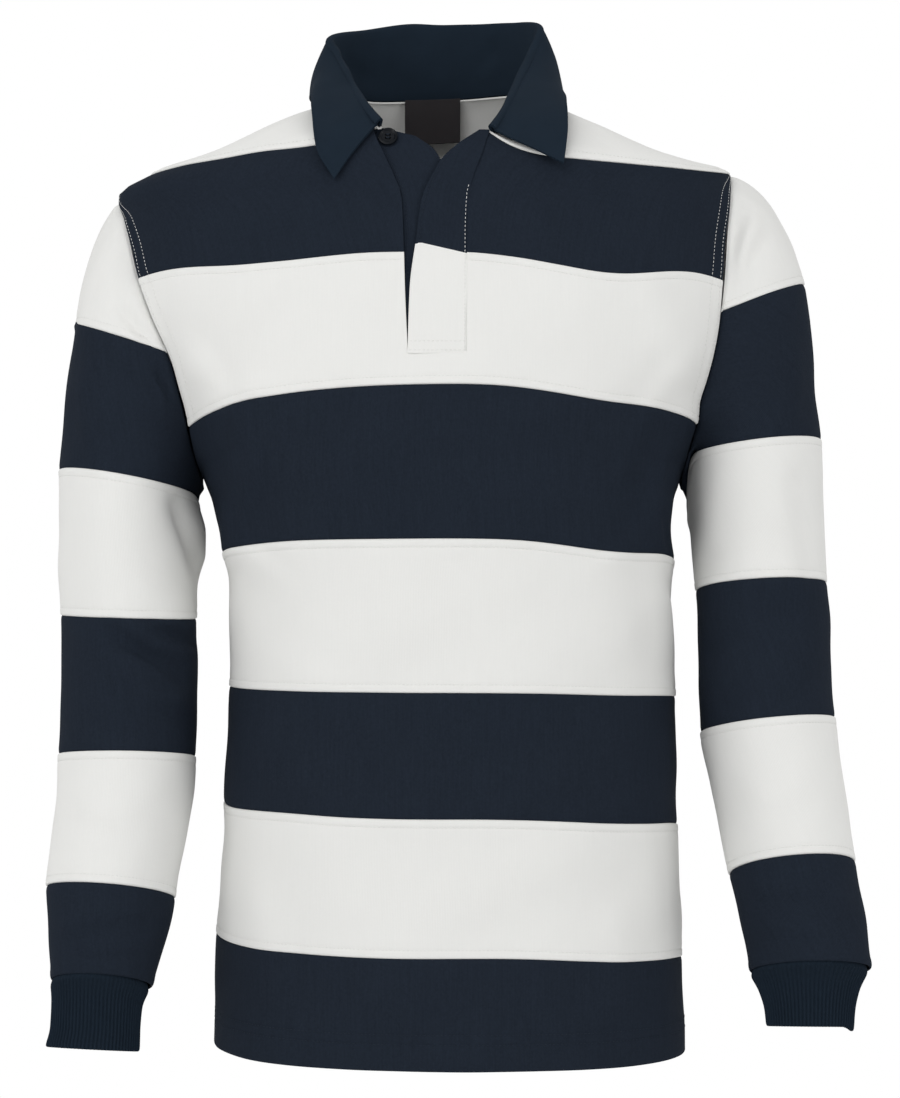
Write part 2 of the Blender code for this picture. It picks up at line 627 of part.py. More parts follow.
def sleeve_columns(side):
    """The sleeve's columns, once round from the shoulder's tip over the front: face, station, angle."""
    levels = ARMHOLE_LEVELS[side]
    front = list(zip(["front"] * len(levels), levels, round_angles(side, "front")))
    back = list(zip(["back"] * len(levels), levels, round_angles(side, "back")))
    return front + back[-2:0:-1]


def armhole_level(side, face, station, angle):
    """The level at which the sleeve starts, a gap away from the armhole that widens under the arm."""
    start = armhole_point(side, face, station)
    end = ring_point(SLEEVES[side], 0, angle)
    gap = ARMHOLE_GAP + (UNDERARM_GAP - ARMHOLE_GAP) * ((1 - math.cos(angle)) / 2) ** 4
    return gap / np.linalg.norm(end - start) - 1


def cap_ends(side, face, station, angle):
    """The levels at which a column of the cap starts and ends."""
    top = armhole_level(side, face, station, angle)
    return top, max(first_seam_level(side, face, station, angle), top + SHORTEST_END / CAP_LENGTH)


def outward_order(side, rows):
    """Columns in the order that makes the faces of a tube on this side point out."""
    return rows if side == "right" else rows[:, ::-1]


def sleeve_rows(side, columns, ends, shares):
    """Rows of points, at shares of the way between the two levels where each column starts and ends."""
    rows = [
        [sleeve_point(side, *at, top + (bottom - top) * share) for at, (top, bottom) in zip(columns, ends)]
        for share in shares
    ]
    return outward_order(side, np.array(rows))


def cap_grid(side):
    columns = sleeve_columns(side)
    columns = columns[-CAP_COLUMNS:] + columns[: CAP_COLUMNS + 1]
    return sleeve_rows(side, columns, [cap_ends(side, *at) for at in columns], CAP_LEVELS)


def upper_grid(side):
    """The band below the cap, which also closes the lower part of the armhole."""
    columns, ends = sleeve_columns(side), []
    for index, at in enumerate(columns):
        below_cap = min(index, len(columns) - index) <= CAP_COLUMNS
        ends.append((cap_ends(side, *at)[1] if below_cap else armhole_level(side, *at), 0))
    return sleeve_rows(side, columns, ends, UPPER_BAND_LEVELS)


def sleeve_grid(side, band):
    """A band of the sleeve between two seams that run all round."""
    columns = sleeve_columns(side)
    steps = 3 if band in (0, 1) else 2
    return sleeve_rows(side, columns, [(band, band + 1)] * len(columns), spread(0, 1, steps))


# ---------------------------------------------------------------- meshes


def inset(grid, top=0.0, bottom=0.0, start=0.0, end=0.0):
    """Draws in the edges of a grid of points, each by its own distance."""
    grid = grid.copy()
    for gap, edge, inner in ((top, grid[0], grid[1]), (bottom, grid[-1], grid[-2])):
        edge += np.array([unit(v) * gap for v in inner - edge])
    for gap, edge, inner in ((start, grid[:, 0], grid[:, 1]), (end, grid[:, -1], grid[:, -2])):
        edge += np.array([unit(v) * gap for v in inner - edge])
    return grid


def lofted(name, grid, material, ring=False, torus=False, left_out=()):
    """An object whose faces join a grid of points, row to row.

    ring joins the last column to the first, torus also the last row to the first, and left_out names
    faces by row and column.
    """
    mesh = bmesh.new()
    rows = [[mesh.verts.new(point) for point in row] for row in grid]
    height, width = len(rows), len(rows[0])
    for i in range(height if torus else height - 1):
        for j in range(width if ring or torus else width - 1):
            if (i, j) not in left_out:
                below, beside = (i + 1) % height, (j + 1) % width
                mesh.faces.new((rows[i][j], rows[below][j], rows[below][beside], rows[i][beside]))
    loose = [v for v in mesh.verts if not v.link_faces]
    bmesh.ops.delete(mesh, geom=loose, context="VERTS")
    data = bpy.data.meshes.new(name)
    mesh.to_mesh(data)
    mesh.free()
    data.shade_smooth()
    piece = bpy.data.objects.new(name, data)
    shirt.objects.link(piece)
    data.materials.append(materials[material])
    return piece


def thicken(piece, wall, offset=-1.0):
    """Gives an open surface its wall; offset -1 puts it on the inside."""
    solidify = piece.modifiers.new("wall", "SOLIDIFY")
    solidify.thickness = wall
    solidify.offset = offset
    return piece


def band_colour(band):
    return "navy" if band % 2 == 0 else "white"


def make_body():
    half, side = SEAM_GAP / 2, SIDE_GAP / 2
    right_end, left_start = FRONT_COLUMNS, FRONT_COLUMNS + OPENING_COLUMNS
    for band in range(len(SEAMS) - 1):
        top = YOKE_GAP if band == 0 else half
        hem = 0.0 if band == len(SEAMS) - 2 else half
        colour, number = band_colour(band), band + 2
        grid = front_grid(band)
        if band == 0:
            right = inset(grid[:, : right_end + 1], top, half, side, 0)
            left = inset(grid[:, left_start:], top, half, 0, side)
            thicken(lofted("front_band_2_right", right, colour), JERSEY)
            thicken(lofted("front_band_2_left", left, colour), JERSEY)
        else:
            notch = range(BAND_LEVELS[1].index(PLACKET_LEVEL - 1)) if band == 1 else ()
            left_out = {(i, j) for i in notch for j in range(right_end, left_start)}
            panel = inset(grid, top, hem, side, side)
            thicken(lofted(f"front_band_{number}", panel, colour, left_out=left_out), JERSEY)
        panel = inset(back_grid(band), top, hem, side, side)
        thicken(lofted(f"back_band_{number}", panel, colour), JERSEY)


def make_yokes():
    right = yoke_grid("front", "right", FRONT_COLUMNS)
    left = yoke_grid("front", "left", FRONT_COLUMNS)[:, ::-1]
    back_right = yoke_grid("back", "right", BACK_COLUMNS // 2)[:, ::-1]
    back_left = yoke_grid("back", "left", BACK_COLUMNS // 2)
    back = np.concatenate((back_left, back_right[:, 1:]), axis=1)
    thicken(lofted("front_yoke_right", inset(right, start=YOKE_GAP), "white"), JERSEY)
    thicken(lofted("front_yoke_left", inset(left, end=YOKE_GAP), "white"), JERSEY)
    thicken(lofted("back_yoke", inset(back, start=YOKE_GAP, end=YOKE_GAP), "white"), JERSEY)


def make_sleeves():
    half = SEAM_GAP / 2
    for side in SIDES:
        cap = inset(cap_grid(side), 0, half, 0, 0)
        thicken(lofted(f"sleeve_{side}_cap", cap, "white"), JERSEY)
        upper = inset(upper_grid(side), half, half)
        thicken(lofted(f"sleeve_{side}_band_2", upper, "navy", ring=True), JERSEY)
        for band in range(len(SLEEVES[side]) - 1):
            panel = inset(sleeve_grid(side, band), half, half)
            colour = "white" if band % 2 == 0 else "navy"
            thicken(lofted(f"sleeve_{side}_band_{band + 3}", panel, colour, ring=True), JERSEY)


def make_cuffs():
    """Ribs stand out of the cuff's outer surface; its inside is plain."""
    for side in SIDES:
        rings, rows = CUFFS[side], []
        last = len(rings) - 1
        for index in (0, 1, 2, last):
            row = []
            for i in range(2 * RIBS):
                raised = RIB_HEIGHT if i % 2 and 0 < index else 0.0
                row.append(ring_point(rings, index, math.pi * i / RIBS, raised))
            rows.append(row)
        for index in (last, 1.5, 0):
            rows.append([ring_point(rings, index, math.pi * i / RIBS, -RIB_WALL) for i in range(2 * RIBS)])
        lofted(f"cuff_{side}", outward_order(side, np.array(rows)), "rib", torus=True)


def collar_section(index):
    """One section of the collar: up the stand from the seam, over the fold and down the leaf."""
    seam, fold, edge = (vector(COLLAR, name, index) for name in ("seam", "fold", "edge"))
    after, before = vector(COLLAR, "seam", index + 0.1), vector(COLLAR, "seam", index - 0.1)
    along = unit(after - before)
    up = unit(fold - seam)
    out = unit(np.cross(up, along))
    out = out if np.dot(out, edge - seam) > 0 else -out
    centre = fold - up * FOLD_RADIUS
    foot, top, leaf = seam + up * NECK_GAP, centre - out * FOLD_RADIUS, centre + out * FOLD_RADIUS
    stand = [foot + (top - foot) * share for share in (0, 0.5, 1)]
    turn = [math.pi * share for share in (0.25, 0.5, 0.75)]
    over = [centre + FOLD_RADIUS * (up * math.sin(a) - out * math.cos(a)) for a in turn]
    hang = [
        leaf + (edge - leaf) * share + out * LEAF_BULGE * math.sin(math.pi * share)
        for share in (0, 0.3, 0.65, 1)
    ]
    return stand + over + hang


def make_collar():
    count = (len(COLLAR) - 1) * COLLAR_STEPS
    grid = np.array([collar_section(i / COLLAR_STEPS) for i in range(count + 1)])
    thicken(lofted("collar", grid, "twill"), TWILL, 0.0)


def front_level(z):
    """The level of the front at a height, measured at its middle."""
    steps = [i / 8 for i in range(17)]
    return Level("front", through([seam_height(step, "front") for step in steps], steps, z))


def placket_strip(side, edges, lift):
    """A strip of the placket, from the front's edge on one side of the opening to its own free edge."""
    beside = []
    for station in LEVELS_BESIDE_PLACKET:
        level = Level("front", station)
        beside.append(level.point(opening_angle(level, side)))
    heights = sorted({p[2] for p in beside} | {e.z for e in edges if e.z > beside[1][2]}, reverse=True)
    heights = [z for z in heights if z <= edges[0].z]
    heights[-1] = max(heights[-1], seam_height(PLACKET_LEVEL, "front")) + SEAM_GAP
    gap = SEAM_GAP if side == "right" else -SEAM_GAP
    grid = []
    for z in heights:
        sewn = np.interp(-z, [-p[2] for p in beside], [p[0] for p in beside]) + gap
        free, level = column(edges, "z", z, "x"), front_level(z)
        xs = spread(min(sewn, free), max(sewn, free), PLACKET_COLUMNS)
        grid.append([level.point(level.angle(x), lift, z) for x in xs])
    return np.array(grid)


def make_placket():
    under = placket_strip("right", UNDERLAP_EDGE, -PLACKET_PLIES - SEAM_GAP)
    over = placket_strip("left", OVERLAP_EDGE, 0.0)
    thicken(lofted("placket_underlap", under, "navy"), PLACKET_PLIES)
    thicken(lofted("placket_overlap", over, "navy"), PLACKET_PLIES)


def make_label():
    """The label hangs straight down inside the back of the neck."""
    seam = [vector(COLLAR, "seam", index) for index in spread(*LABEL_ROWS, 16)]
    grid = []
    for drop in spread(0, LABEL_HEIGHT, 2):
        row = []
        for x in spread(LABEL_LEFT, LABEL_RIGHT, 4):
            y, z = (np.interp(x, [p[0] for p in seam], [p[axis] for p in seam]) for axis in (1, 2))
            row.append(np.array((x, y - LABEL_SETBACK, z - drop)))
        grid.append(row)
    thicken(lofted("neck_label", np.array(grid), "label"), LABEL_THICKNESS)


def make_button():
    """A turned button with a raised rim and four holes, on the placket's button side."""
    data = bpy.data.meshes.new("button")
    edges = [(i, i + 1) for i in range(len(BUTTON_PROFILE) - 1)]
    data.from_pydata([(radius, 0, height) for radius, height in BUTTON_PROFILE], edges, [])
    button = bpy.data.objects.new("button", data)
    shirt.objects.link(button)
    data.materials.append(materials["button"])
    screw = button.modifiers.new("turned", "SCREW")
    screw.steps = screw.render_steps = 24
    screw.use_merge_vertices = True
    screw.merge_threshold = 0.00001
    screw.use_normal_calculate = True
    for i in range(4):
        angle = math.pi / 4 + i * math.pi / 2
        reach = BUTTON_HOLE_PITCH / math.sqrt(2)
        bpy.ops.mesh.primitive_cylinder_add(
            vertices=8,
            radius=BUTTON_HOLE_RADIUS,
            depth=0.01,
            location=(reach * math.cos(angle), reach * math.sin(angle), 0),
        )
        hole = bpy.context.object
        hole.name = f"button_hole_cutter_{i + 1}"
        hole.hide_render = True
        hole.display_type = "WIRE"
        for owner in list(hole.users_collection):
            owner.objects.unlink(hole)
        cutters.objects.link(hole)
        hole.parent = button
        cut = button.modifiers.new(f"hole {i + 1}", "BOOLEAN")
        cut.operation = "DIFFERENCE"
        cut.object = hole
    x, z = BUTTON_CENTRE
    level = front_level(z)
    seat, beside, above = (
        level.point(level.angle(x + dx), -PLACKET_PLIES, z + dz)
        for dx, dz in ((0, 0), (BUTTON_RADIUS, 0), (0, BUTTON_RADIUS))
    )
    outward = Vector(unit(np.cross(beside - seat, above - seat)))
    seat = Vector(seat)
    turn = outward.to_track_quat("Z", "Y").to_matrix().to_4x4()
    button.matrix_world = Matrix.Translation(seat) @ turn


def make_material(name, colour):
    material = bpy.data.materials.new(name)
    material.use_nodes = True
    shader = material.node_tree.nodes["Principled BSDF"]
    shader.inputs["Base Color"].default_value = (*colour, 1)
    shader.inputs["Roughness"].default_value = 0.45 if name == "button" else 0.9
    shader.inputs["Metallic"].default_value = 0.0
    material.diffuse_color = (*colour, 1)
    return material


for old in list(bpy.data.objects):
    bpy.data.objects.remove(old, do_unlink=True)
shirt = bpy.data.collections.new("rugby_shirt")
cutters = bpy.data.collections.new("cutters")
bpy.context.scene.collection.children.link(shirt)
bpy.context.scene.collection.children.link(cutters)
materials = {name: make_material(name, colour) for name, colour in COLOURS.items()}

make_body()
make_yokes()
make_sleeves()
make_cuffs()
make_collar()
make_placket()
make_label()
make_button()
bpy.context.view_layer.update()
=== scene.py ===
"""Looks of the rugby shirt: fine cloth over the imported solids, with its seams, folds, stitching and knit.

Metres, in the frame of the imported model: +Z up, and the wearer faces -Y with the right side at -X. The
tables of sizes repeat those of the solids, so that each shell lies on the solid that it stands for, but
for a few values that bring the cloth nearer to the photograph than the solids are.
"""

import math
from collections import namedtuple

import bpy
import numpy as np
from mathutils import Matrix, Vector


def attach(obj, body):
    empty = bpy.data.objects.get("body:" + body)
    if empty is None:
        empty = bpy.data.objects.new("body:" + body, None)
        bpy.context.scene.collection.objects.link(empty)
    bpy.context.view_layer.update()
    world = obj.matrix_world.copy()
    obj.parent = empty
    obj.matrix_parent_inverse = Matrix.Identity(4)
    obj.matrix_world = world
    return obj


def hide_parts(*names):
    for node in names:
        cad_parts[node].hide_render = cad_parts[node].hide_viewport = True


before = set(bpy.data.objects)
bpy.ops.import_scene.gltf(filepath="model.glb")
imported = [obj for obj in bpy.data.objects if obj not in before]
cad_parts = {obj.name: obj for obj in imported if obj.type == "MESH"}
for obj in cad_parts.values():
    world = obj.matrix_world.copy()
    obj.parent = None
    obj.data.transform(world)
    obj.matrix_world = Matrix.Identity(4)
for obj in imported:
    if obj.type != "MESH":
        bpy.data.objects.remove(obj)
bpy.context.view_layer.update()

# ---------------------------------------------------------------- sizes

# Cloth
JERSEY = 0.0015  # wall of the body and sleeves
HEM_PLY = 0.0009  # what the turned-up hem adds inside
TWILL = 0.0022  # the two plies of the collar
PLACKET_PLIES = 0.0018
RIB_WALL = 0.0018
RIB_HEIGHT = 0.0011
RIBS = 72  # round each cuff
LABEL_THICKNESS = 0.0008
TUCKED = 0.0014  # how far a panel runs on under its neighbour's edge
SPACING = 0.0045  # between rows and columns of the cloth away from its edges

# Cross-section of the body: |x/a|^P + |y/b|^Q = 1
ROUND_X = 2.35
ROUND_Y = 2.25

Seam = namedtuple("Seam", "front back right left dip_right dip_left")
SEAMS = (
    Seam(-0.0615, -0.0580, -0.0620, -0.0596, 0, 0),
    Seam(-0.1340, -0.1400, -0.1450, -0.1470, 0.0040, 0.0105),
    Seam(-0.2300, -0.2450, -0.2555, -0.2530, 0, 0.0045),
    Seam(-0.3400, -0.3440, -0.3490, -0.3540, -0.0010, 0.0050),
    Seam(-0.4500, -0.4490, -0.4470, -0.4560, 0, 0.0010),
    Seam(-0.5400, -0.5430, -0.5340, -0.5515, -0.0015, 0.0020),
    Seam(-0.6390, -0.6420, -0.6315, -0.6510, 0, 0.0025),
    Seam(-0.7190, -0.7210, -0.7136, -0.7204, 0, 0.0010),
)
HEM_BAND = len(SEAMS) - 2
FIRST_SHARE = 0.21  # of the first band, the level that the yoke takes its slope from

NECK_PULL = {"right": 0.053, "left": 0.0375}
NECK_PULL_WIDTH = {"right": 0.050, "left": 0.044}
FIRST_SEAM_SLANT = -0.035
# How far that seam rises again near the neck, and falls near the shoulder
FIRST_SEAM_WAVE = {"right": 0.0035, "left": 0.0010}

Depth = namedtuple("Depth", "z front back")
DEPTHS = (
    Depth(-0.030, 0.094, 0.085),
    Depth(-0.045, 0.100, 0.092),
    Depth(-0.060, 0.106, 0.098),
    Depth(-0.100, 0.117, 0.108),
    Depth(-0.134, 0.125, 0.112),
    Depth(-0.200, 0.136, 0.115),
    Depth(-0.260, 0.140, 0.113),
    Depth(-0.340, 0.137, 0.107),
    Depth(-0.450, 0.133, 0.102),
    Depth(-0.580, 0.130, 0.102),
    Depth(-0.730, 0.129, 0.104),
)

# Sides of the body: the shoulder's ridge, the armhole's front and back edges, and the side seam
Side = namedtuple("Side", "z x front back")
SIDES = {
    "right": (
        Side(-0.0620, -0.2200, 0.0, 0.0),
        Side(-0.0788, -0.2416, 0.0, 0.0),
        Side(-0.1000, -0.2352, -0.037, 0.040),
        Side(-0.1427, -0.2237, -0.056, 0.061),
        Side(-0.1800, -0.2095, -0.064, 0.069),
        Side(-0.2120, -0.1965, -0.065, 0.070),
        Side(-0.2520, -0.1870, -0.055, 0.059),
        Side(-0.2780, -0.1820, -0.035, 0.038),
        Side(-0.2962, -0.1780, 0.0, 0.0),
        Side(-0.3110, -0.1720, 0.0, 0.0),
        Side(-0.3450, -0.1630, 0.0, 0.0),
        Side(-0.3830, -0.1590, 0.0, 0.0),
        Side(-0.4510, -0.1590, 0.0, 0.0),
        Side(-0.5340, -0.1625, 0.0, 0.0),
        Side(-0.6480, -0.1690, 0.0, 0.0),
        Side(-0.7200, -0.1690, 0.0, 0.0),
    ),
    "left": (
        Side(-0.0596, 0.2197, 0.0, 0.0),
        Side(-0.0780, 0.2178, -0.034, 0.037),
        Side(-0.1110, 0.2135, -0.052, 0.056),
        Side(-0.1440, 0.2105, -0.061, 0.066),
        Side(-0.1680, 0.2075, -0.065, 0.070),
        Side(-0.2000, 0.2014, -0.065, 0.070),
        Side(-0.2230, 0.1950, -0.061, 0.066),
        Side(-0.2500, 0.1870, -0.049, 0.053),
        Side(-0.2780, 0.1820, -0.030, 0.033),
        Side(-0.2963, 0.1800, 0.0, 0.0),
        Side(-0.3090, 0.1755, 0.0, 0.0),
        Side(-0.3450, 0.1735, 0.0, 0.0),
        Side(-0.4200, 0.1745, 0.0, 0.0),
        Side(-0.4890, 0.1765, 0.0, 0.0),
        Side(-0.5720, 0.1800, 0.0, 0.0),
        Side(-0.6480, 0.1820, 0.0, 0.0),
        Side(-0.7220, 0.1830, 0.0, 0.0),
    ),
}
UNDERARM = -0.296
# First and last level of each armhole, and the level where the sleeve's first seam runs into it
ARMHOLES = {"right": (0.21, 2.435, 1.50), "left": (0.0, 2.435, 1.22)}

RIDGES = {
    "right": ((-0.2200, -0.0620), (-0.1704, -0.0485), (-0.1325, -0.0325), (-0.1007, -0.0115), (-0.0715, 0.0)),
    "left": ((0.2197, -0.0596), (0.1758, -0.0475), (0.1364, -0.0350), (0.0980, -0.0145), (0.0700, 0.0)),
}
RIDGE_SHARE = {"front": 5 / 8, "back": 6 / 9}  # of a yoke, the part that ends on the shoulder's ridge
RIDGE_START = 0.012
RIDGE_RUN = {"front": (0.0, 1.0, 0.12), "back": (0.0, -1.0, 0.12)}
NECK_RUN = {"front": (0.0, 0.3, 0.95), "back": (0.0, -0.5, 0.86)}
YOKE_STIFFNESS = {"front": 0.45, "back": 0.9}
SHORT_YOKE = 0.05
RIDGE_STIFFNESS = 0.9
YOKE_RISE = 2.0
LEAST_RISE, LEAST_SLOPE = 0.001, 0.1  # with which a yoke's length is worked out

Collar = namedtuple("Collar", "seam fold edge")
COLLAR = (
    Collar((-0.0430, -0.0965, -0.0390), (-0.0445, -0.1040, -0.0358), (-0.0758, -0.1145, -0.0803)),
    Collar((-0.0605, -0.0680, -0.0260), (-0.0560, -0.0740, -0.0150), (-0.0882, -0.1060, -0.0580)),
    Collar((-0.0690, -0.0340, -0.0105), (-0.0675, -0.0340, 0.0110), (-0.0940, -0.0700, -0.0220)),
    Collar((-0.0715, 0.0000, 0.0000), (-0.0780, -0.0030, 0.0340), (-0.0970, -0.0200, -0.0010)),
    Collar((-0.0690, 0.0300, 0.0050), (-0.0845, 0.0200, 0.0500), (-0.0980, 0.0330, 0.0020)),
    Collar((-0.0530, 0.0600, 0.0075), (-0.0590, 0.0640, 0.0630), (-0.0770, 0.0900, 0.0010)),
    Collar((-0.0240, 0.0735, 0.0100), (-0.0249, 0.0810, 0.0703), (-0.0320, 0.1090, -0.0040)),
    Collar((0.0010, 0.0755, 0.0110), (0.0000, 0.0840, 0.0715), (0.0000, 0.1120, -0.0050)),
    Collar((0.0240, 0.0735, 0.0120), (0.0240, 0.0820, 0.0730), (0.0310, 0.1095, -0.0040)),
    Collar((0.0520, 0.0590, 0.0120), (0.0560, 0.0630, 0.0700), (0.0730, 0.0880, 0.0020)),
    Collar((0.0680, 0.0300, 0.0070), (0.0770, 0.0240, 0.0605), (0.0925, 0.0340, 0.0060)),
    Collar((0.0700, 0.0000, 0.0000), (0.0690, -0.0030, 0.0340), (0.0940, -0.0180, 0.0000)),
    Collar((0.0660, -0.0340, -0.0135), (0.0585, -0.0340, 0.0080), (0.0930, -0.0660, -0.0200)),
    Collar((0.0560, -0.0680, -0.0300), (0.0490, -0.0700, -0.0170), (0.0925, -0.0960, -0.0430)),
    Collar((0.0385, -0.0960, -0.0443), (0.0385, -0.1030, -0.0395), (0.0892, -0.1145, -0.0690)),
)
HIGH_POINTS = {"right": 3, "left": 11}
COLLAR_LAST = len(COLLAR) - 1
NECK_GAP = 0.0008
FOLD_RADIUS = 0.0026
LEAF_BULGE = 0.0035
STAND_ROWS, TURN_ROWS = 9, 9  # of the collar's cloth, up to its fold and over it

Opening = namedtuple("Opening", "z right left")
OPENING = (
    Opening(-0.036, -0.0500, 0.0385),
    Opening(-0.048, -0.0460, 0.0345),
    Opening(-0.062, -0.0395, 0.0300),
    Opening(-0.074, -0.0340, 0.0255),
    Opening(-0.092, -0.0275, 0.0212),
    Opening(-0.120, -0.0260, 0.0200),
    Opening(-0.165, -0.0246, 0.0198),
    Opening(-0.208, -0.0226, 0.0196),
)
FreeEdge = namedtuple("FreeEdge", "z x")
UNDERLAP_EDGE = (
    FreeEdge(-0.0462, -0.0180),
    FreeEdge(-0.0504, -0.0118),
    FreeEdge(-0.0569, -0.0039),
    FreeEdge(-0.0655, 0.0011),
    FreeEdge(-0.0800, 0.0090),
    FreeEdge(-0.1000, 0.0135),
    FreeEdge(-0.2070, 0.0150),
)
OVERLAP_EDGE = (
    FreeEdge(-0.0420, 0.0290),
    FreeEdge(-0.0530, 0.0134),
    FreeEdge(-0.0655, 0.0010),
    FreeEdge(-0.0740, -0.0035),
    FreeEdge(-0.0864, -0.0097),
    FreeEdge(-0.0986, -0.0133),
    FreeEdge(-0.1220, -0.0160),
    FreeEdge(-0.1586, -0.0206),
    FreeEdge(-0.2070, -0.0222),
)
OPENING_ROUNDS = 12  # of the search for the height at which a level meets the opening
OPENING_POINTS = 60  # of the line beside the opening, which the placket's pieces are sewn to
STATION_STEPS = np.linspace(0, 2, 17)  # over the first two bands, for finding a height's level
PLACKET_LEVEL = 1.75
PLACKET_FOOT = -0.2070
PLACKET_GAP = 0.0004
PLACKET_END = PLACKET_FOOT - 0.0006
UNDERLAP_DROP = PLACKET_PLIES + 0.0006
OVERLAP_SEAM = -0.1350  # height at which the navy of the overlap meets its white, at its sewn edge
SEAM_RISE = 0.0086  # and how much higher they meet at its free edge
SEAM_CORNER = 0.0017  # how far that corner is rounded off
SEAM_CORNER_WIDTH = 0.05  # and over which share of the width
SEAM_REACH = 0.05  # how far from the seam, and from the underlap's top, the rows of cloth follow them
UNDERLAP_RISE = 0.0080  # of the underlap's top, toward its sewn edge
OVERLAP_LIFT = 0.0024  # of the free edge, where it stands away from the underlap most
OVERLAP_LIFT_WIDTH = 0.020
OVERLAP_LIFT_HEIGHTS = ((-0.12, -0.01), (-0.19, -0.11))  # between which it rises from nothing
OVERLAP_REST = 0.0002

Ring = namedtuple("Ring", "outer_x outer_z inner_x inner_z y depth lift sag")
SLEEVES = {
    "right": (
        Ring(-0.2875, -0.2850, -0.1820, -0.3035, -0.002, 0.070, 0.004, 0.006),
        Ring(-0.2855, -0.3940, -0.1822, -0.3970, -0.012, 0.064, -0.001, 0),
        Ring(-0.2830, -0.4980, -0.1822, -0.4990, -0.030, 0.057, 0.006, 0),
        Ring(-0.2885, -0.5950, -0.1950, -0.6020, -0.052, 0.050, 0.011, 0),
        Ring(-0.2850, -0.6620, -0.2120, -0.6650, -0.067, 0.042, 0.012, 0),
    ),
    "left": (
        Ring(0.2880, -0.2625, 0.1860, -0.2740, -0.002, 0.070, 0.004, 0.036),
        Ring(0.2905, -0.3705, 0.1920, -0.3750, -0.012, 0.064, 0.006, 0),
        Ring(0.2955, -0.4710, 0.1960, -0.4805, -0.030, 0.057, 0.008, 0),
        Ring(0.3060, -0.5770, 0.2130, -0.5840, -0.055, 0.050, 0.014, 0),
        Ring(0.3140, -0.6530, 0.2260, -0.6540, -0.073, 0.043, 0.012, 0),
    ),
}
CUFFS = {
    "right": (
        Ring(-0.2835, -0.6635, -0.2132, -0.6665, -0.0675, 0.040, 0.012, 0),
        Ring(-0.2825, -0.6780, -0.2185, -0.6810, -0.0700, 0.029, 0.010, 0),
        Ring(-0.2830, -0.6950, -0.2195, -0.6980, -0.0730, 0.025, 0.006, 0),
        Ring(-0.2860, -0.7080, -0.2195, -0.7115, -0.0760, 0.024, 0.003, 0),
    ),
    "left": (
        Ring(0.3120, -0.6545, 0.2275, -0.6555, -0.0735, 0.041, 0.012, 0),
        Ring(0.3050, -0.6680, 0.2340, -0.6680, -0.0760, 0.030, 0.010, 0),
        Ring(0.3015, -0.6810, 0.2375, -0.6810, -0.0790, 0.025, 0.006, 0),
        Ring(0.3000, -0.6930, 0.2385, -0.6925, -0.0810, 0.024, 0.003, 0),
    ),
}
RIB_COLUMNS = 8
CUFF_ROWS = (0, 0.03, 0.08, 0.16, *np.linspace(0.25, 2.9, 18), 2.96, 3.0)
CUFF_TUCK = 0.0008  # how far the cuff's top goes in under the sleeve
CUFF_REACH = 0.0022  # and up inside it
CUFF_ROLL = 0.0004  # how far its end is turned in
# Places down the cuff, from 0 to 3: where the ribs are full, how far the tuck shows, and where the roll and
# the droop begin
CUFF_FULL, CUFF_TUCKED, CUFF_ROLLED, CUFF_DROOPED, CUFF_END = 0.25, 0.05, 2.85, 2.2, 3.0
CORNER_WIDTH = 0.08
RIB_ROUND = 0.7  # below 1, which makes the ribs broader than the valleys between them
RIB_START = 0.25  # share of the ribs' height that is left at the cuff's top
CUFF_CORNER = {"right": 0.0, "left": 0.0032}  # how far the outer corner of the cuff's end droops
SAG_ANGLE = math.radians(186)
SAG_WIDTH = math.radians(14)
FIRST_SLEEVE_SEAM = {"right": (-0.2780, -0.1750), "left": (0.2740, -0.1450)}
CAP_SLOPE = {"right": (0.64, -0.77), "left": (0.93, -0.37)}
CAP_BULGE = 0.35
CAP_FLARE = 0.10
CREASE_START = -0.4  # level from which the largest folds show
ARMHOLE_POINTS = 90
SEAM_HALVINGS = 30  # in the search for the first seam
SLEEVE_BAND = 0.100
SLEEVE_GIRTH = 0.055
SLEEVE_ROUND = 0.34  # once round the sleeve, for its columns

# Largest folds, nearly all as the solids have them
Fold = namedtuple("Fold", "x1 z1 x2 z2 width height")
FOLDS = {
    "front": (
        Fold(-0.135, -0.235, -0.152, -0.345, 0.014, 0.0050),
        Fold(0.183, -0.250, 0.160, -0.310, 0.012, 0.0050),
        Fold(0.160, -0.310, 0.168, -0.350, 0.012, 0.0040),
        Fold(0.158, -0.370, 0.166, -0.450, 0.012, 0.0025),
        Fold(-0.120, -0.150, -0.170, -0.215, 0.016, 0.0030),
        Fold(0.150, -0.150, 0.176, -0.215, 0.016, 0.0030),
        Fold(0.156, -0.560, 0.163, -0.690, 0.014, 0.0025),
    ),
    "back": (
        Fold(-0.150, -0.180, -0.120, -0.330, 0.018, 0.0050),
        Fold(0.150, -0.170, 0.125, -0.320, 0.018, 0.0050),
        Fold(-0.060, -0.430, 0.050, -0.470, 0.020, 0.0035),
        Fold(0.090, -0.500, 0.140, -0.600, 0.018, 0.0035),
    ),
}
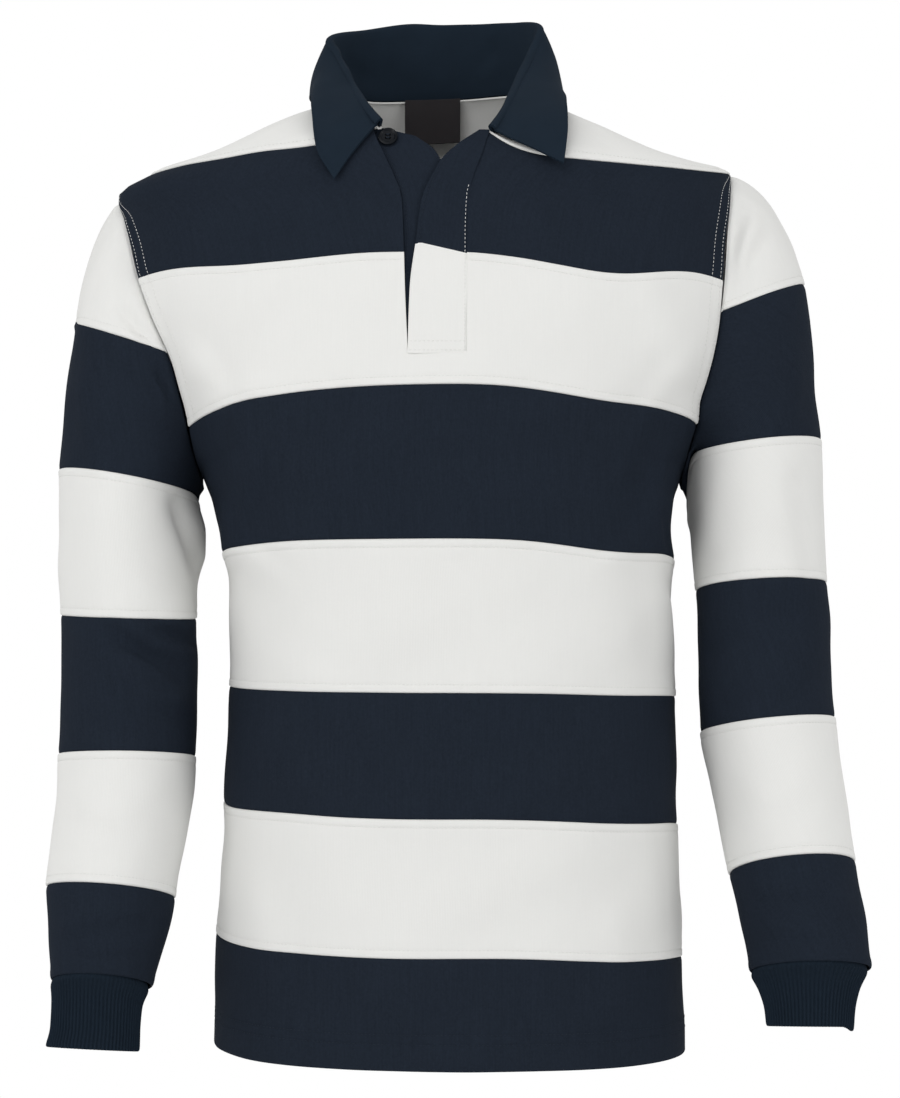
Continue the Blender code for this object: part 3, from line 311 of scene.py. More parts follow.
# Their ends lie at an angle and a level of the sleeve: 0 outside, 90 in front, 180 inside
Crease = namedtuple("Crease", "angle1 level1 angle2 level2 width height")
CREASES = {
    "right": (
        Crease(141, 0.16, 165, 0.56, 0.009, -0.0045),
        Crease(176, 0.28, 182, 0.44, 0.018, 0.0070),
        Crease(178, 0.84, 190, 1.10, 0.013, -0.0025),
        Crease(86, 1.14, 142, 1.38, 0.010, -0.0045),
        Crease(78, 1.32, 138, 1.60, 0.011, 0.0030),
        Crease(120, 1.08, 170, 1.17, 0.008, -0.0030),
        Crease(220, 1.15, 320, 1.40, 0.013, 0.0045),
        Crease(60, 3.45, 130, 3.20, 0.012, 0.0025),
        Crease(240, 3.30, 320, 3.55, 0.012, 0.0035),
    ),
    "left": (
        Crease(60, 0.35, 48, 0.95, 0.012, -0.0025),
        Crease(176, 0.14, 188, 0.25, 0.009, 0.0012),
        Crease(130, 0.10, 140, 0.60, 0.014, 0.0020),
        Crease(75, 1.30, 150, 1.45, 0.012, -0.0025),
        Crease(220, 1.20, 320, 1.45, 0.013, 0.0045),
        Crease(60, 3.40, 130, 3.20, 0.012, 0.0025),
        Crease(240, 3.30, 320, 3.55, 0.012, 0.0035),
    ),
}

# Finer folds of the front and back, as seen from the front: each is a soft ridge, or a trough where its
# height is below 0. It bows to one side on its way, and is steeper on the side that lean points to.
Wrinkle = namedtuple("Wrinkle", "x1 z1 x2 z2 bow width height lean")
WRINKLES = {
    "front": (
        Wrinkle(-0.205, -0.175, -0.120, -0.330, 0.012, 0.010, 0.0020, 0.3),
        Wrinkle(0.196, -0.190, 0.120, -0.330, -0.010, 0.010, 0.0018, -0.3),
        Wrinkle(-0.175, -0.305, -0.100, -0.380, -0.006, 0.008, 0.0016, 0.3),
        Wrinkle(0.172, -0.300, 0.100, -0.372, 0.006, 0.008, 0.0016, -0.3),
        Wrinkle(-0.150, -0.420, -0.060, -0.465, 0.008, 0.014, 0.0010, 0.2),
        Wrinkle(0.160, -0.480, 0.060, -0.530, -0.008, 0.014, 0.0011, 0.2),
        Wrinkle(-0.145, -0.560, -0.120, -0.700, 0.004, 0.014, 0.0016, 0.2),
        Wrinkle(0.130, -0.590, 0.120, -0.705, 0.004, 0.013, 0.0014, -0.2),
        Wrinkle(-0.030, -0.600, -0.036, -0.712, 0.003, 0.018, 0.0012, 0.0),
        Wrinkle(-0.1330, -0.260, -0.1500, -0.340, 0.002, 0.006, 0.0024, -0.5),
        Wrinkle(0.1780, -0.262, 0.1575, -0.314, -0.003, 0.006, 0.0026, 0.5),
        Wrinkle(0.1575, -0.312, 0.1665, -0.356, -0.002, 0.006, 0.0026, 0.5),
        Wrinkle(0.1615, -0.366, 0.1730, -0.440, 0.002, 0.006, 0.0026, 0.5),
    ),
    "back": (
        Wrinkle(-0.200, -0.180, -0.090, -0.300, 0.012, 0.010, 0.0020, 0.3),
        Wrinkle(0.196, -0.180, 0.090, -0.300, -0.012, 0.010, 0.0020, -0.3),
        Wrinkle(-0.110, -0.110, 0.105, -0.118, -0.014, 0.012, 0.0012, 0.2),
        Wrinkle(-0.140, -0.380, -0.030, -0.420, 0.008, 0.014, 0.0015, 0.2),
        Wrinkle(0.150, -0.410, 0.050, -0.440, -0.008, 0.013, 0.0014, 0.2),
        Wrinkle(-0.120, -0.520, 0.020, -0.545, 0.008, 0.016, 0.0012, 0.2),
        Wrinkle(-0.110, -0.600, -0.100, -0.705, 0.004, 0.015, 0.0016, 0.2),
        Wrinkle(0.070, -0.590, 0.085, -0.705, 0.004, 0.016, 0.0016, -0.2),
    ),
}
COLLAR_WRINKLES = (
    Wrinkle(0.0480, 0.058, 0.0240, 0.030, 0.0, 0.006, -0.0022, 0.0),
    Wrinkle(-0.0750, 0.038, -0.0520, 0.016, 0.0, 0.006, -0.0018, 0.0),
)
# The same round each sleeve, with its ends at an angle and a level
SleeveWrinkle = namedtuple("SleeveWrinkle", "angle1 level1 angle2 level2 bow width height")
SLEEVE_LEAN = 0.3
BOTH_SLEEVES = (
    SleeveWrinkle(70, 3.70, 150, 3.55, 0.006, 0.008, 0.0014),
    SleeveWrinkle(230, 0.60, 310, 0.85, 0.006, 0.010, 0.0018),
    SleeveWrinkle(210, 1.60, 300, 1.80, 0.006, 0.010, 0.0018),
    SleeveWrinkle(220, 2.60, 300, 2.75, 0.006, 0.010, 0.0014),
)
SLEEVE_WRINKLES = {
    "right": (
        SleeveWrinkle(40, -0.45, 95, 0.10, 0.006, 0.010, 0.0014),
        SleeveWrinkle(95, 0.75, 160, 0.95, 0.005, 0.008, 0.0010),
        SleeveWrinkle(141, 0.14, 160, 0.50, 0.002, 0.004, -0.0016),
        SleeveWrinkle(82, 1.12, 144, 1.40, 0.002, 0.005, -0.0036),
        SleeveWrinkle(86, 1.23, 140, 1.48, 0.002, 0.006, 0.0016),
        SleeveWrinkle(112, 1.08, 176, 1.18, 0.002, 0.004, -0.0030),
        SleeveWrinkle(57, -0.79, 91, -0.93, 0.001, 0.004, -0.0036),
        SleeveWrinkle(94, -0.83, 118, -0.85, 0.001, 0.004, -0.0034),
        SleeveWrinkle(62, -0.66, 100, -0.74, 0.002, 0.006, 0.0020),
        SleeveWrinkle(30, 1.05, 110, 1.28, 0.006, 0.008, 0.0012),
        SleeveWrinkle(100, 1.60, 175, 1.75, -0.005, 0.008, 0.0016),
        SleeveWrinkle(40, 2.30, 120, 2.45, 0.006, 0.010, 0.0012),
        *BOTH_SLEEVES,
    ),
    "left": (
        SleeveWrinkle(40, -0.45, 90, 0.05, 0.006, 0.010, 0.0014),
        SleeveWrinkle(26, -0.84, 66, -0.93, -0.001, 0.005, 0.0030),
        SleeveWrinkle(22, -0.92, 62, -0.97, -0.001, 0.004, -0.0026),
        SleeveWrinkle(90, 0.85, 160, 1.00, 0.005, 0.008, 0.0012),
        SleeveWrinkle(40, 1.60, 120, 1.80, 0.006, 0.010, 0.0012),
        SleeveWrinkle(60, 2.45, 140, 2.55, 0.006, 0.010, 0.0010),
        *BOTH_SLEEVES,
    ),
}

# Shares of a fold's way over which it rises and falls, and the troughs on both sides of it: how far away
# they are, by its width, and how deep, by its height
FADE_IN, FADE_OUT = 0.3, 0.4
TROUGH_AWAY, TROUGH_SHARE = 2.1, 0.28

# Slow unevenness of all the cloth: the way that each wave runs, its length, height and phase
Wave = namedtuple("Wave", "x y z length height phase")
WAVES = (
    Wave(0.80, 0.20, 0.56, 0.143, 0.00080, 0.4),
    Wave(-0.62, 0.10, 0.78, 0.097, 0.00058, 2.1),
    Wave(0.94, -0.30, 0.12, 0.071, 0.00040, 4.4),
    Wave(0.25, 0.40, -0.88, 0.059, 0.00030, 1.3),
    Wave(-0.35, 0.60, 0.72, 0.038, 0.00016, 5.2),
    Wave(0.70, 0.10, -0.70, 0.027, 0.00009, 3.3),
)

# How the cloth stands at each kind of edge: by distance from the edge, how far it stands out
EDGES = {
    "over": (
        (0.0, -0.0010), (0.0003, -0.0003), (0.0008, 0.0002), (0.0016, 0.0004), (0.0050, 0.0004),
        (0.0057, 0.0000), (0.0062, -0.0001), (0.0070, 0.0001), (0.0100, 0.0002), (0.0160, 0.0),
    ),
    "under": ((0.0, -0.0013), (0.0014, -0.0011), (0.0024, -0.0004), (0.0050, 0.0)),
    "plain": ((0.0, -0.0006), (0.0010, -0.0002), (0.0026, 0.0)),
    "armhole": (
        (0.0, -0.0011), (0.0003, -0.0004), (0.0008, 0.0002), (0.0016, 0.0006), (0.0080, 0.0006),
        (0.0090, 0.0), (0.0100, 0.0001), (0.0130, 0.0002), (0.0180, 0.0),
    ),
    "sunk": ((0.0, -0.0012), (0.0012, -0.0010), (0.0020, -0.0004), (0.0045, 0.0)),
    "cuff": (
        (0.0, -0.0004), (0.0008, 0.0002), (0.0030, 0.0006), (0.0055, 0.0005), (0.0080, 0.0001),
        (0.0110, 0.0),
    ),
    "hem": (
        (0.0, -0.0002), (0.0012, 0.0004), (0.0180, 0.0004), (0.0190, 0.0), (0.0200, 0.0003),
        (0.0250, 0.0003), (0.0260, 0.0), (0.0274, 0.0001), (0.0340, 0.0),
    ),
}
EDGE_STEPS = (0.0, 0.0003, 0.0008, 0.0016, 0.0024, 0.0036, 0.0050, 0.0057, 0.0062, 0.0070, 0.0082, 0.0100)
HEM_STEPS = (
    0.0, 0.0006, 0.0014, 0.0050, 0.0100, 0.0150, 0.0180, 0.0190, 0.0200, 0.0225, 0.0250, 0.0260, 0.0274,
)
FREE_STEPS = (0.0, 0.0004, 0.0010, 0.0020)  # beside the placket's edges, and a little further on the collar's
COLLAR_STEPS = (*FREE_STEPS, 0.0032)
LEAF_STEPS = (0.0, 0.0012)  # below the fold
LABEL_STEPS = (0.0, 0.0006)
HEM_DEPTH = 0.0274
HEM_FADE = 0.0014  # over which the hem's ply ends
SIDE_FADE = (UNDERARM - 0.004, UNDERARM + 0.012)  # heights between which the armhole's edge ends
YOKE_FADE = 0.012  # beside the edges of a yoke, where it becomes even
SLEEVE_FADE = 0.008  # and beside the armhole
CAP_LEAST = -1 + 0.012  # the level that the cap reaches where it is shortest
PRESSED = (0.0024, 0.0007, 0.0003)  # the line beside the collar's edges: how far in, how wide and how deep
COLLAR_FADE = 0.02  # from the seam, over which the collar's folds begin
COLLAR_NEAR = 0.1  # between the sections that give its way round

# Rough sizes of the panels, from which their rows and columns are spaced
FRONT_HALF = 0.19
BODY_WIDTH = 0.42
YOKE_HEIGHT = 0.10
BACK_YOKE_HALF = 0.24
CAP_WIDTH = 0.19
CAP_HEIGHT = 0.09
ARMHOLE_WIDTH = 0.22
PLACKET_WIDTH = 0.04
COLLAR_WIDTH = 0.50
LEAF_HEIGHT = 0.07
LABEL_WIDTH = 0.043
COLLAR_SPACING = 0.0038
LEAF_SPACING = 0.0035
PLACKET_SPACING = {"across": 0.0028, "down": 0.0035}
LABEL_SPACING = 0.002
OPENING_COLUMNS = 8  # of the front, under the placket

# Sewing
STITCH_PITCH = 0.0030
STITCH_LENGTH = 0.0019
STITCH_RADIUS = 0.00022
STRIPE_STITCH = 0.0060  # from the edge of a white stripe
ARMHOLE_STITCHES = (0.0045, 0.0140)
ARMHOLE_TOP = {"right": -0.0788, "left": -0.0596}
ARMHOLE_BANDS = 2  # of the body, beside which the armhole's sewing shows
ARMHOLE_FOOT = UNDERARM + 0.02
HEM_STITCHES = (0.0190, 0.0260)
PLACKET_STITCH = 0.0020  # from the free edge and the sewn edge of the underlap
FOOT_STITCHES = (0.0020, 0.0085)  # from the lower end of the overlap
OVERLAP_STITCHES = {"sewn": 0.0012, "free": 0.0022}
SEWN_FROM = -0.080  # height from which the white stitches of the overlap show
NOTCH_CLEAR = 2  # columns beside the notch without the stripe's upper row

# Button and label
BUTTON_CENTRE = (-0.0376, -0.0475)
BUTTON_HOLE_PITCH = 0.0027
BUTTON_NEAR = 0.004  # between the places that give its tilt
BUTTON_WELL = 0.0022  # of the thread, above the button's seat
THREAD_SHIFT = 0.0003  # of each thread, from the middle of its pair
THREAD_ARCH = 0.0004
THREAD_BEND = 1.4  # angle to which its ends turn down
THREAD_POINTS = 5
# Pitch and length of its stitches, which meet, by half the pitch of the holes
THREAD_PITCH, THREAD_STITCH = 0.9, 1.1
LABEL_RIGHT, LABEL_LEFT = -0.0277, 0.0155
LABEL_ROWS = (5, 9)  # sections of the collar between which it hangs
LABEL_POINTS = 40  # of the neck's line between them
LABEL_HEIGHT = 0.0345
LABEL_SETBACK = 0.0044
LABEL_CURL = 0.0006
LABEL_RIM = 0.0002

# Colours
NAVY = (0.0147, 0.0203, 0.0308)
WHITE = (0.80, 0.80, 0.78)
TWILL_NAVY = (0.0122, 0.0205, 0.0320)
RIB_NAVY = (0.0112, 0.0185, 0.0290)
LABEL_BLACK = (0.0360, 0.0330, 0.0350)
BUTTON_NAVY = (0.0030, 0.0045, 0.0070)
WHITE_THREAD = (0.74, 0.74, 0.72)
NAVY_THREAD = (0.018, 0.025, 0.037)
FLOOR_GREY = (0.8, 0.8, 0.8, 1)
FLOOR_ROUGHNESS = 0.9


# ---------------------------------------------------------------- curves


def hermite(start, start_tangent, end, end_tangent, t):
    """A point of the cubic between two ends with a given tangent at each."""
    return (
        (2 * t**3 - 3 * t**2 + 1) * start
        + (t**3 - 2 * t**2 + t) * start_tangent
        + (3 * t**2 - 2 * t**3) * end
        + (t**3 - t**2) * end_tangent
    )


def through(xs, ys, x):
    """Values at x of a smooth curve through points, which doesn't overshoot between them."""
    xs, ys = np.asarray(xs, float), np.asarray(ys, float)
    if xs[0] > xs[-1]:
        xs, ys = xs[::-1], ys[::-1]
    x = np.clip(x, xs[0], xs[-1])
    steps = np.diff(xs)
    slopes = np.diff(ys) / steps
    before, after = steps[:-1] + 2 * steps[1:], 2 * steps[:-1] + steps[1:]
    turning = slopes[:-1] * slopes[1:] <= 0
    above, below = np.where(turning, 1, slopes[:-1]), np.where(turning, 1, slopes[1:])
    inner = np.where(turning, 0, (before + after) / (before / above + after / below))
    tangents = np.concatenate((slopes[:1], inner, slopes[-1:]))
    i = np.clip(np.searchsorted(xs, x) - 1, 0, len(xs) - 2)
    step = steps[i]
    return hermite(ys[i], tangents[i] * step, ys[i + 1], tangents[i + 1] * step, (x - xs[i]) / step)


def column(rows, key, at, name):
    """One named column of a table, at any values of the column key."""
    return through([getattr(r, key) for r in rows], [getattr(r, name) for r in rows], at)


def vector(rows, name, index):
    """A table's column of points, at any places between its rows, on a smooth curve."""
    points = np.array([getattr(r, name) for r in rows])
    points = np.vstack((2 * points[0] - points[1], points, 2 * points[-1] - points[-2]))
    index = np.asarray(index, float)
    i = np.clip(np.floor(index).astype(int), 0, len(rows) - 2)
    before, start, end, after = (points[i + k] for k in range(4))
    return hermite(start, (end - before) / 2, end, (after - start) / 2, (index - i)[..., None])


def unit(v):
    return v / np.maximum(np.linalg.norm(v, axis=-1, keepdims=True), 1e-9)


def length(v):
    return np.linalg.norm(v, axis=-1)


def smooth(low, high, x):
    """0 up to low, 1 from high, and a soft step between."""
    t = np.clip((x - low) / (high - low), 0, 1)
    return t * t * (3 - 2 * t)


def spaced(total, spacing=SPACING, first=EDGE_STEPS, last=EDGE_STEPS):
    """Shares of the way along a length: close together at its two edges and evenly spaced between."""
    inner = total - first[-1] - last[-1]
    count = max(int(round(inner / spacing)), 1)
    middle = first[-1] + inner * np.arange(1, count) / count
    return np.concatenate((first, middle, total - np.array(last)[::-1])) / total


# ---------------------------------------------------------------- body


def seam_height(station, name):
    """Height of the body's level, where 0, 1, 2... are the seams and between them are the bands."""
    heights = np.array([getattr(seam, name) for seam in SEAMS])
    i = np.clip(np.floor(station).astype(int), 0, len(SEAMS) - 2)
    return heights[i] + (heights[i + 1] - heights[i]) * (station - i)


def either(on_right, values):
    """The wearer's right or left one of two values."""
    return np.where(on_right, values["right"], values["left"])


class Levels:
    """Levels round the front or back of the body, one for each station."""

    def __init__(self, face, station):
        station = np.asarray(station, float).reshape(-1, 1)
        self.face, self.z = face, seam_height(station, face)
        self.out = -1 if face == "front" else 1
        self.near_neck = np.maximum(1 - station, 0) ** 2 if face == "front" else 0 * station
        self.side_z = {side: seam_height(station, side) for side in SIDES}
        in_front = 1.0 if face == "front" else 0.0
        self.dip = {side: seam_height(station, "dip_" + side) * in_front for side in SIDES}
        ends = {side: column(SIDES[side], "z", z, "x") for side, z in self.side_z.items()}
        self.middle = (ends["right"] + ends["left"]) / 2
        self.reach, self.half = {}, {}
        for side, z in self.side_z.items():
            edge_y = np.abs(column(SIDES[side], "z", z, face))
            depth = column(DEPTHS, "z", z, face)
            self.reach[side] = (1 - (edge_y / depth) ** ROUND_Y) ** (1 / ROUND_X)
            self.half[side] = np.abs(ends[side] - self.middle) / self.reach[side]

    def end(self, side):
        """The angle at which each level ends, at an armhole or a side seam."""
        angle = np.arcsin(np.minimum(self.reach[side], 1))
        return -angle if side == "right" else angle

    def angle(self, x):
        """The angle at which each level passes x."""
        half = either(x < self.middle, self.half)
        return np.arcsin(np.clip((x - self.middle) / half, -1, 1))

    def height(self, angle):
        on_right = angle < 0
        x = either(on_right, self.half) * np.sin(angle)
        ends = {side: self.end(side) for side in SIDES}
        share = np.minimum(np.abs(angle / either(on_right, ends)), 1)
        way = share**2
        pull = either(on_right, NECK_PULL) * np.exp(-((x / either(on_right, NECK_PULL_WIDTH)) ** 2))
        pull = pull + FIRST_SEAM_SLANT * x * (1 - way)
        pull = pull + either(on_right, FIRST_SEAM_WAVE) * np.sin(2 * math.pi * share)
        dip = either(on_right, self.dip) * np.sin(math.pi * share) ** 4
        return self.z + (either(on_right, self.side_z) - self.z) * way + self.near_neck * pull - dip

    def points(self, angle, lift=0.0, z=None):
        """Points of the levels, or of other heights z above or below them."""
        across = np.sin(angle)
        half = either(angle < 0, self.half)
        z = self.height(angle) if z is None else z + 0 * across
        depth = column(DEPTHS, "z", z, self.face)
        round_y = np.maximum(1 - np.abs(across) ** ROUND_X, 0) ** (1 / ROUND_Y)
        point = np.stack((self.middle + half * across, self.out * depth * round_y, z), axis=-1)
        outward = unit(np.stack((across / half, self.out * round_y / depth, 0 * across), axis=-1))
        return point + outward * (lift + fold_height(self.face, point))[..., None]


def ridge_height(here, start, end, width, height):
    """One of the largest folds, about the line between two points of a flat map."""
    start = np.array(start)
    way = np.array(end) - start
    along = np.clip((here - start) @ way / (way @ way), 0, 1)
    nearest = start + along[..., None] * way
    return height * np.exp(-((length(here - nearest) / width) ** 2))


def fold_height(face, point):
    """How far the largest folds of the front or back raise the cloth."""
    here = point[..., [0, 2]]
    return sum(ridge_height(here, (f.x1, f.z1), (f.x2, f.z2), f.width, f.height) for f in FOLDS[face])


def opening_angle(levels, side):
    """The angle at which the front ends beside the opening, at the height that each level has there."""
    z = levels.z
    for _ in range(OPENING_ROUNDS):
        angle = levels.angle(column(OPENING, "z", z, side))
        z = (z + levels.height(angle)) / 2
    return angle


def front_levels(z):
    """Levels of the front at given heights, measured at its middle."""
    return Levels("front", through(seam_height(STATION_STEPS, "front"), STATION_STEPS, z))


# ---------------------------------------------------------------- yoke


def yoke_top(face, side, share):
    """Points of the yoke's upper edge and the way the cloth runs there: the ridge, then the neck."""
    ridge_share = RIDGE_SHARE[face]
    ridge_run, neck_run = np.array(RIDGE_RUN[face]), np.array(NECK_RUN[face])
    along = RIDGE_START + (1 - RIDGE_START) * np.minimum(share / ridge_share, 1)
    xs, zs = np.array(RIDGES[side]).T
    x = xs[0] + (xs[-1] - xs[0]) * along
    ridge = np.stack((x, 0 * x, through(xs, zs, x)), axis=-1)
    along = np.clip((share - ridge_share) / (1 - ridge_share), 0, 1)
    front_end = 0 if side == "right" else COLLAR_LAST
    goal = front_end if face == "front" else COLLAR_LAST / 2
    neck = vector(COLLAR, "seam", HIGH_POINTS[side] + (goal - HIGH_POINTS[side]) * along)
    run = unit((1 - along)[:, None] * ridge_run + along[:, None] * neck_run)
    on_ridge = (share <= ridge_share)[:, None]
    return np.where(on_ridge, ridge, neck), np.where(on_ridge, ridge_run, run)


def yoke_grid(face, side, share, down):
    """A yoke: share runs from the shoulder inwards, and down from the neck, 0, to the seam, 1."""
    ends = []
    for station in (0, FIRST_SHARE):
        levels = Levels(face, [station])
        inner = opening_angle(levels, side) if face == "front" else 0.0
        ends.append(levels.points(levels.end(side) + (inner - levels.end(side)) * share[None])[0])
    start, under = ends
    end, run = yoke_top(face, side, share)
    away = length(end - start)[:, None]
    rise = unit(start - under)
    stiff = np.minimum(RIDGE_STIFFNESS * away, np.maximum(YOKE_STIFFNESS[face] * away, SHORT_YOKE))
    climb = np.maximum(end[:, 2:] - start[:, 2:], LEAST_RISE) / np.maximum(rise[:, 2:], LEAST_SLOPE)
    leave, arrive = rise * np.minimum(stiff, YOKE_RISE * climb), run * RIDGE_STIFFNESS * away
    return hermite(start, leave, end, arrive, 1 - down[:, None, None])


# ---------------------------------------------------------------- sleeves


def ring_points(rings, index, angle, lift=0.0):
    """Points of a sleeve or cuff: angle 0 is outermost, a quarter turn is in front."""
    index = np.clip(index, 0, len(rings) - 1)
    at = Ring(*(through(range(len(rings)), [r[i] for r in rings], index) for i in range(len(Ring._fields))))
    outer = np.stack((at.outer_x, at.y, at.outer_z), axis=-1)
    inner = np.stack((at.inner_x, at.y, at.inner_z), axis=-1)
    middle, wide = (outer + inner) / 2, (outer - inner) / 2
    deep = np.stack((0 * at.y, -at.depth, at.lift), axis=-1)
    cos, sin = np.cos(angle)[..., None], np.sin(angle)[..., None]
    offset = wide * cos + deep * sin
    behind = np.mod(angle, 2 * math.pi) - SAG_ANGLE
    offset[..., 2] -= at.sag * np.exp(-((behind / SAG_WIDTH) ** 2))
    wide_square, deep_square = (np.sum(v * v, axis=-1, keepdims=True) for v in (wide, deep))
    facing = unit(wide / wide_square * cos + deep / deep_square * sin)
    return middle + offset + facing * np.asarray(lift)[..., None]


class Sleeve:
    """One sleeve. Level -1 is the armhole, and 0 and up are the seams that run all round."""

    def __init__(self, side):
        self.side, self.rings = side, SLEEVES[side]
        first, last, self.corner = ARMHOLES[side]
        self.stations = np.linspace(first, last, ARMHOLE_POINTS)
        self.turns = {}
        for face in ("front", "back"):
            steps = length(np.diff(self.armhole_points(face, self.stations), axis=0))
            walked = np.concatenate(([0], np.cumsum(steps)))
            self.turns[face] = math.pi * walked / walked[-1]

    def armhole_points(self, face, station):
        levels = Levels(face, station)
        return levels.points(levels.end(self.side))[:, 0]

    def corner_angle(self, face):
        """The angle at which the first seam runs into the armhole."""
        return float(np.interp(self.corner, self.stations, self.turns[face]))

    def armhole(self, angle):
        angle = np.mod(angle, 2 * math.pi)
        front = self.armhole_points("front", np.interp(angle, self.turns["front"], self.stations))
        turned = 2 * math.pi - angle
        back = self.armhole_points("back", np.interp(turned, self.turns["back"], self.stations))
        return np.where((angle <= math.pi)[:, None], front, back)

    def points(self, angle, level):
        """Points at each angle of a row, for one level each or for a grid of levels."""
        round_angle = np.mod(angle, 2 * math.pi) + 0 * level
        lift = crease_height(CREASES[self.side], round_angle, level) * smooth(CREASE_START, 0.0, level)
        around = ring_points(self.rings, level, round_angle, np.where(level >= 0, lift, 0))
        start, end = self.armhole(angle), ring_points(self.rings, 0 * angle, angle)
        reach = length(end - start)[:, None]
        way_in = ((1 - np.cos(angle)) / 2)[:, None]
        outward, up = CAP_SLOPE[self.side]
        outward = math.copysign(outward, self.rings[0].outer_x) * (1 - way_in) ** 0.5
        leave = unit(np.hstack((outward, -CAP_BULGE * np.sin(angle)[:, None], up + 0 * way_in)))
        flare = math.copysign(CAP_FLARE, self.rings[0].outer_x) * (1 - way_in)
        arrive = np.hstack((flare, 0 * way_in, 0 * way_in - 1))
        cap = hermite(start, leave * reach, end, arrive * reach, 1 + level[..., None])
        return np.where((level >= 0)[..., None], around, cap)

    def first_seam(self, angle):
        """The level at which each column crosses the first seam, a flat cut through the cap."""
        outer_x, outer_z = FIRST_SLEEVE_SEAM[self.side]
        inner = self.armhole_points("front", [self.corner])[0]
        slope = (inner[2] - outer_z) / (inner[0] - outer_x)
        low, high = -1 + 0 * angle, 0 * angle
        for _ in range(SEAM_HALVINGS):
            middle = (low + high) / 2
            point = self.points(angle, middle)
            above = point[:, 2] > outer_z + slope * (point[:, 0] - outer_x)
            low, high = np.where(above, middle, low), np.where(above, high, middle)
        return low

    def grid(self, angle, top, bottom, down):
        """A grid between two levels of each column, in the order that makes its faces point out."""
        level = top + (bottom - top) * down[:, None]
        points = self.points(angle, level)
        way = 1 if self.side == "right" else -1
        return points[:, ::way], (np.mod(angle, 2 * math.pi) + 0 * level)[:, ::way], level[:, ::way]


def sleeve_map(degrees, level):
    """A place on the flat map of a sleeve."""
    return math.radians(degrees) * SLEEVE_GIRTH, level * SLEEVE_BAND


def crease_height(creases, angle, level):
    """How far the largest folds round a sleeve raise the cloth."""
    here = np.stack((angle * SLEEVE_GIRTH, level * SLEEVE_BAND + 0 * angle), axis=-1)
    total = 0.0
    for c in creases:
        start, end = sleeve_map(c.angle1, c.level1), sleeve_map(c.angle2, c.level2)
        total = total + ridge_height(here, start, end, c.width, c.height)
    return total


# ---------------------------------------------------------------- relief


def wrinkle_height(here, start, end, bow, width, height, lean):
    """One soft fold on its bowed way between two points of a flat map, fading out at both ends."""
    start, end = np.array(start), np.array(end)
    way = end - start
    reach = np.linalg.norm(way)
    along = (here - start) @ way / reach**2
    across = (here - start) @ np.array((-way[1], way[0])) / reach
    across = across - bow * 4 * along * (1 - along)
    width = width * (1 - lean * np.tanh(across / width))
    fade = smooth(0, FADE_IN, along) * smooth(0, FADE_OUT, 1 - along)
    crest = np.exp(-((across / width) ** 2))
    beside = np.exp(-(((np.abs(across) - TROUGH_AWAY * width) / width) ** 2))
    return height * fade * (crest - TROUGH_SHARE * beside)


def body_relief(wrinkles, point):
    """The finer folds and the waves at points of the body or the collar."""
    here = point[..., [0, 2]]
    total = waves(point)
    for w in wrinkles:
        total = total + wrinkle_height(here, (w.x1, w.z1), (w.x2, w.z2), w.bow, w.width, w.height, w.lean)
    return total


def sleeve_relief(side, angle, level, point):
    """The same at points of a sleeve."""
    here = np.stack((angle * SLEEVE_GIRTH, level * SLEEVE_BAND), axis=-1)
    total = waves(point)
    for w in SLEEVE_WRINKLES[side]:
        start, end = sleeve_map(w.angle1, w.level1), sleeve_map(w.angle2, w.level2)
        total = total + wrinkle_height(here, start, end, w.bow, w.width, w.height, SLEEVE_LEAN)
    return total


def waves(point):
    total = 0.0
    for w in WAVES:
        run = point @ np.array((w.x, w.y, w.z))
        total = total + w.height * np.sin(2 * math.pi * run / w.length + w.phase)
    return total


def edge_height(kind, distance):
    xs, ys = np.array(EDGES[kind]).T
    return through(xs, ys, distance)


class Panel:
    """A grid of points of the cloth's outer surface, row under row, with the distances along it."""

    def __init__(self, grid, ring=False):
        self.grid, self.ring = grid, ring
        zeros = np.zeros(grid.shape[1])
        self.down = np.vstack((zeros, np.cumsum(length(np.diff(grid, axis=0)), axis=0)))
        steps = length(np.diff(self.closed(), axis=1))
        self.across = np.hstack((np.zeros((len(grid), 1)), np.cumsum(steps, axis=1)))
        self.facing = facings(grid, self.ring)

    def closed(self):
        return np.concatenate((self.grid, self.grid[:, :1]), axis=1) if self.ring else self.grid

    def raise_by(self, height):
        self.grid = self.grid + self.facing * height[..., None]
        self.facing = facings(self.grid, self.ring)

    def up(self):
        """Distances from the bottom edge."""
        return self.down[-1] - self.down

    def from_start(self):
        return self.across[:, : self.grid.shape[1]]

    def from_end(self):
        return self.across[:, -1:] - self.from_start()

    def flat_size(self):
        return float(self.across[:, -1].max()), float(self.down[-1].max())

    def flat_area(self):
        closed = self.closed()
        one, other = closed[1:, 1:] - closed[:-1, :-1], closed[1:, :-1] - closed[:-1, 1:]
        return float(length(np.cross(one, other)).sum() / 2)

    def row_at(self, distance):
        """The line across the panel at a distance below its top edge, or above its bottom if below 0."""
        lines = []
        for values in (self.grid, self.facing):
            walks = zip(self.down.T, values.swapaxes(0, 1))
            lines.append(np.array([at_distance(walk, line, distance) for walk, line in walks]))
        if self.ring:
            lines = [np.vstack((line, line[:1])) for line in lines]
        return tuple(lines)

    def column_at(self, distance):
        """The line down the panel at a distance inside its first edge, or inside its last if below 0.

        There is one distance for all the rows, or one for each.
        """
        distances = np.broadcast_to(distance, len(self.grid))
        lines = []
        for values in (self.grid, self.facing):
            walks = zip(self.from_start(), values, distances)
            lines.append(np.array([at_distance(walk, line, inside) for walk, line, inside in walks]))
        return tuple(lines)


def sample(walk, values, where):
    """Points or ways at distances along a line."""
    return np.stack([np.interp(where, walk, values[:, axis]) for axis in range(3)], axis=-1)


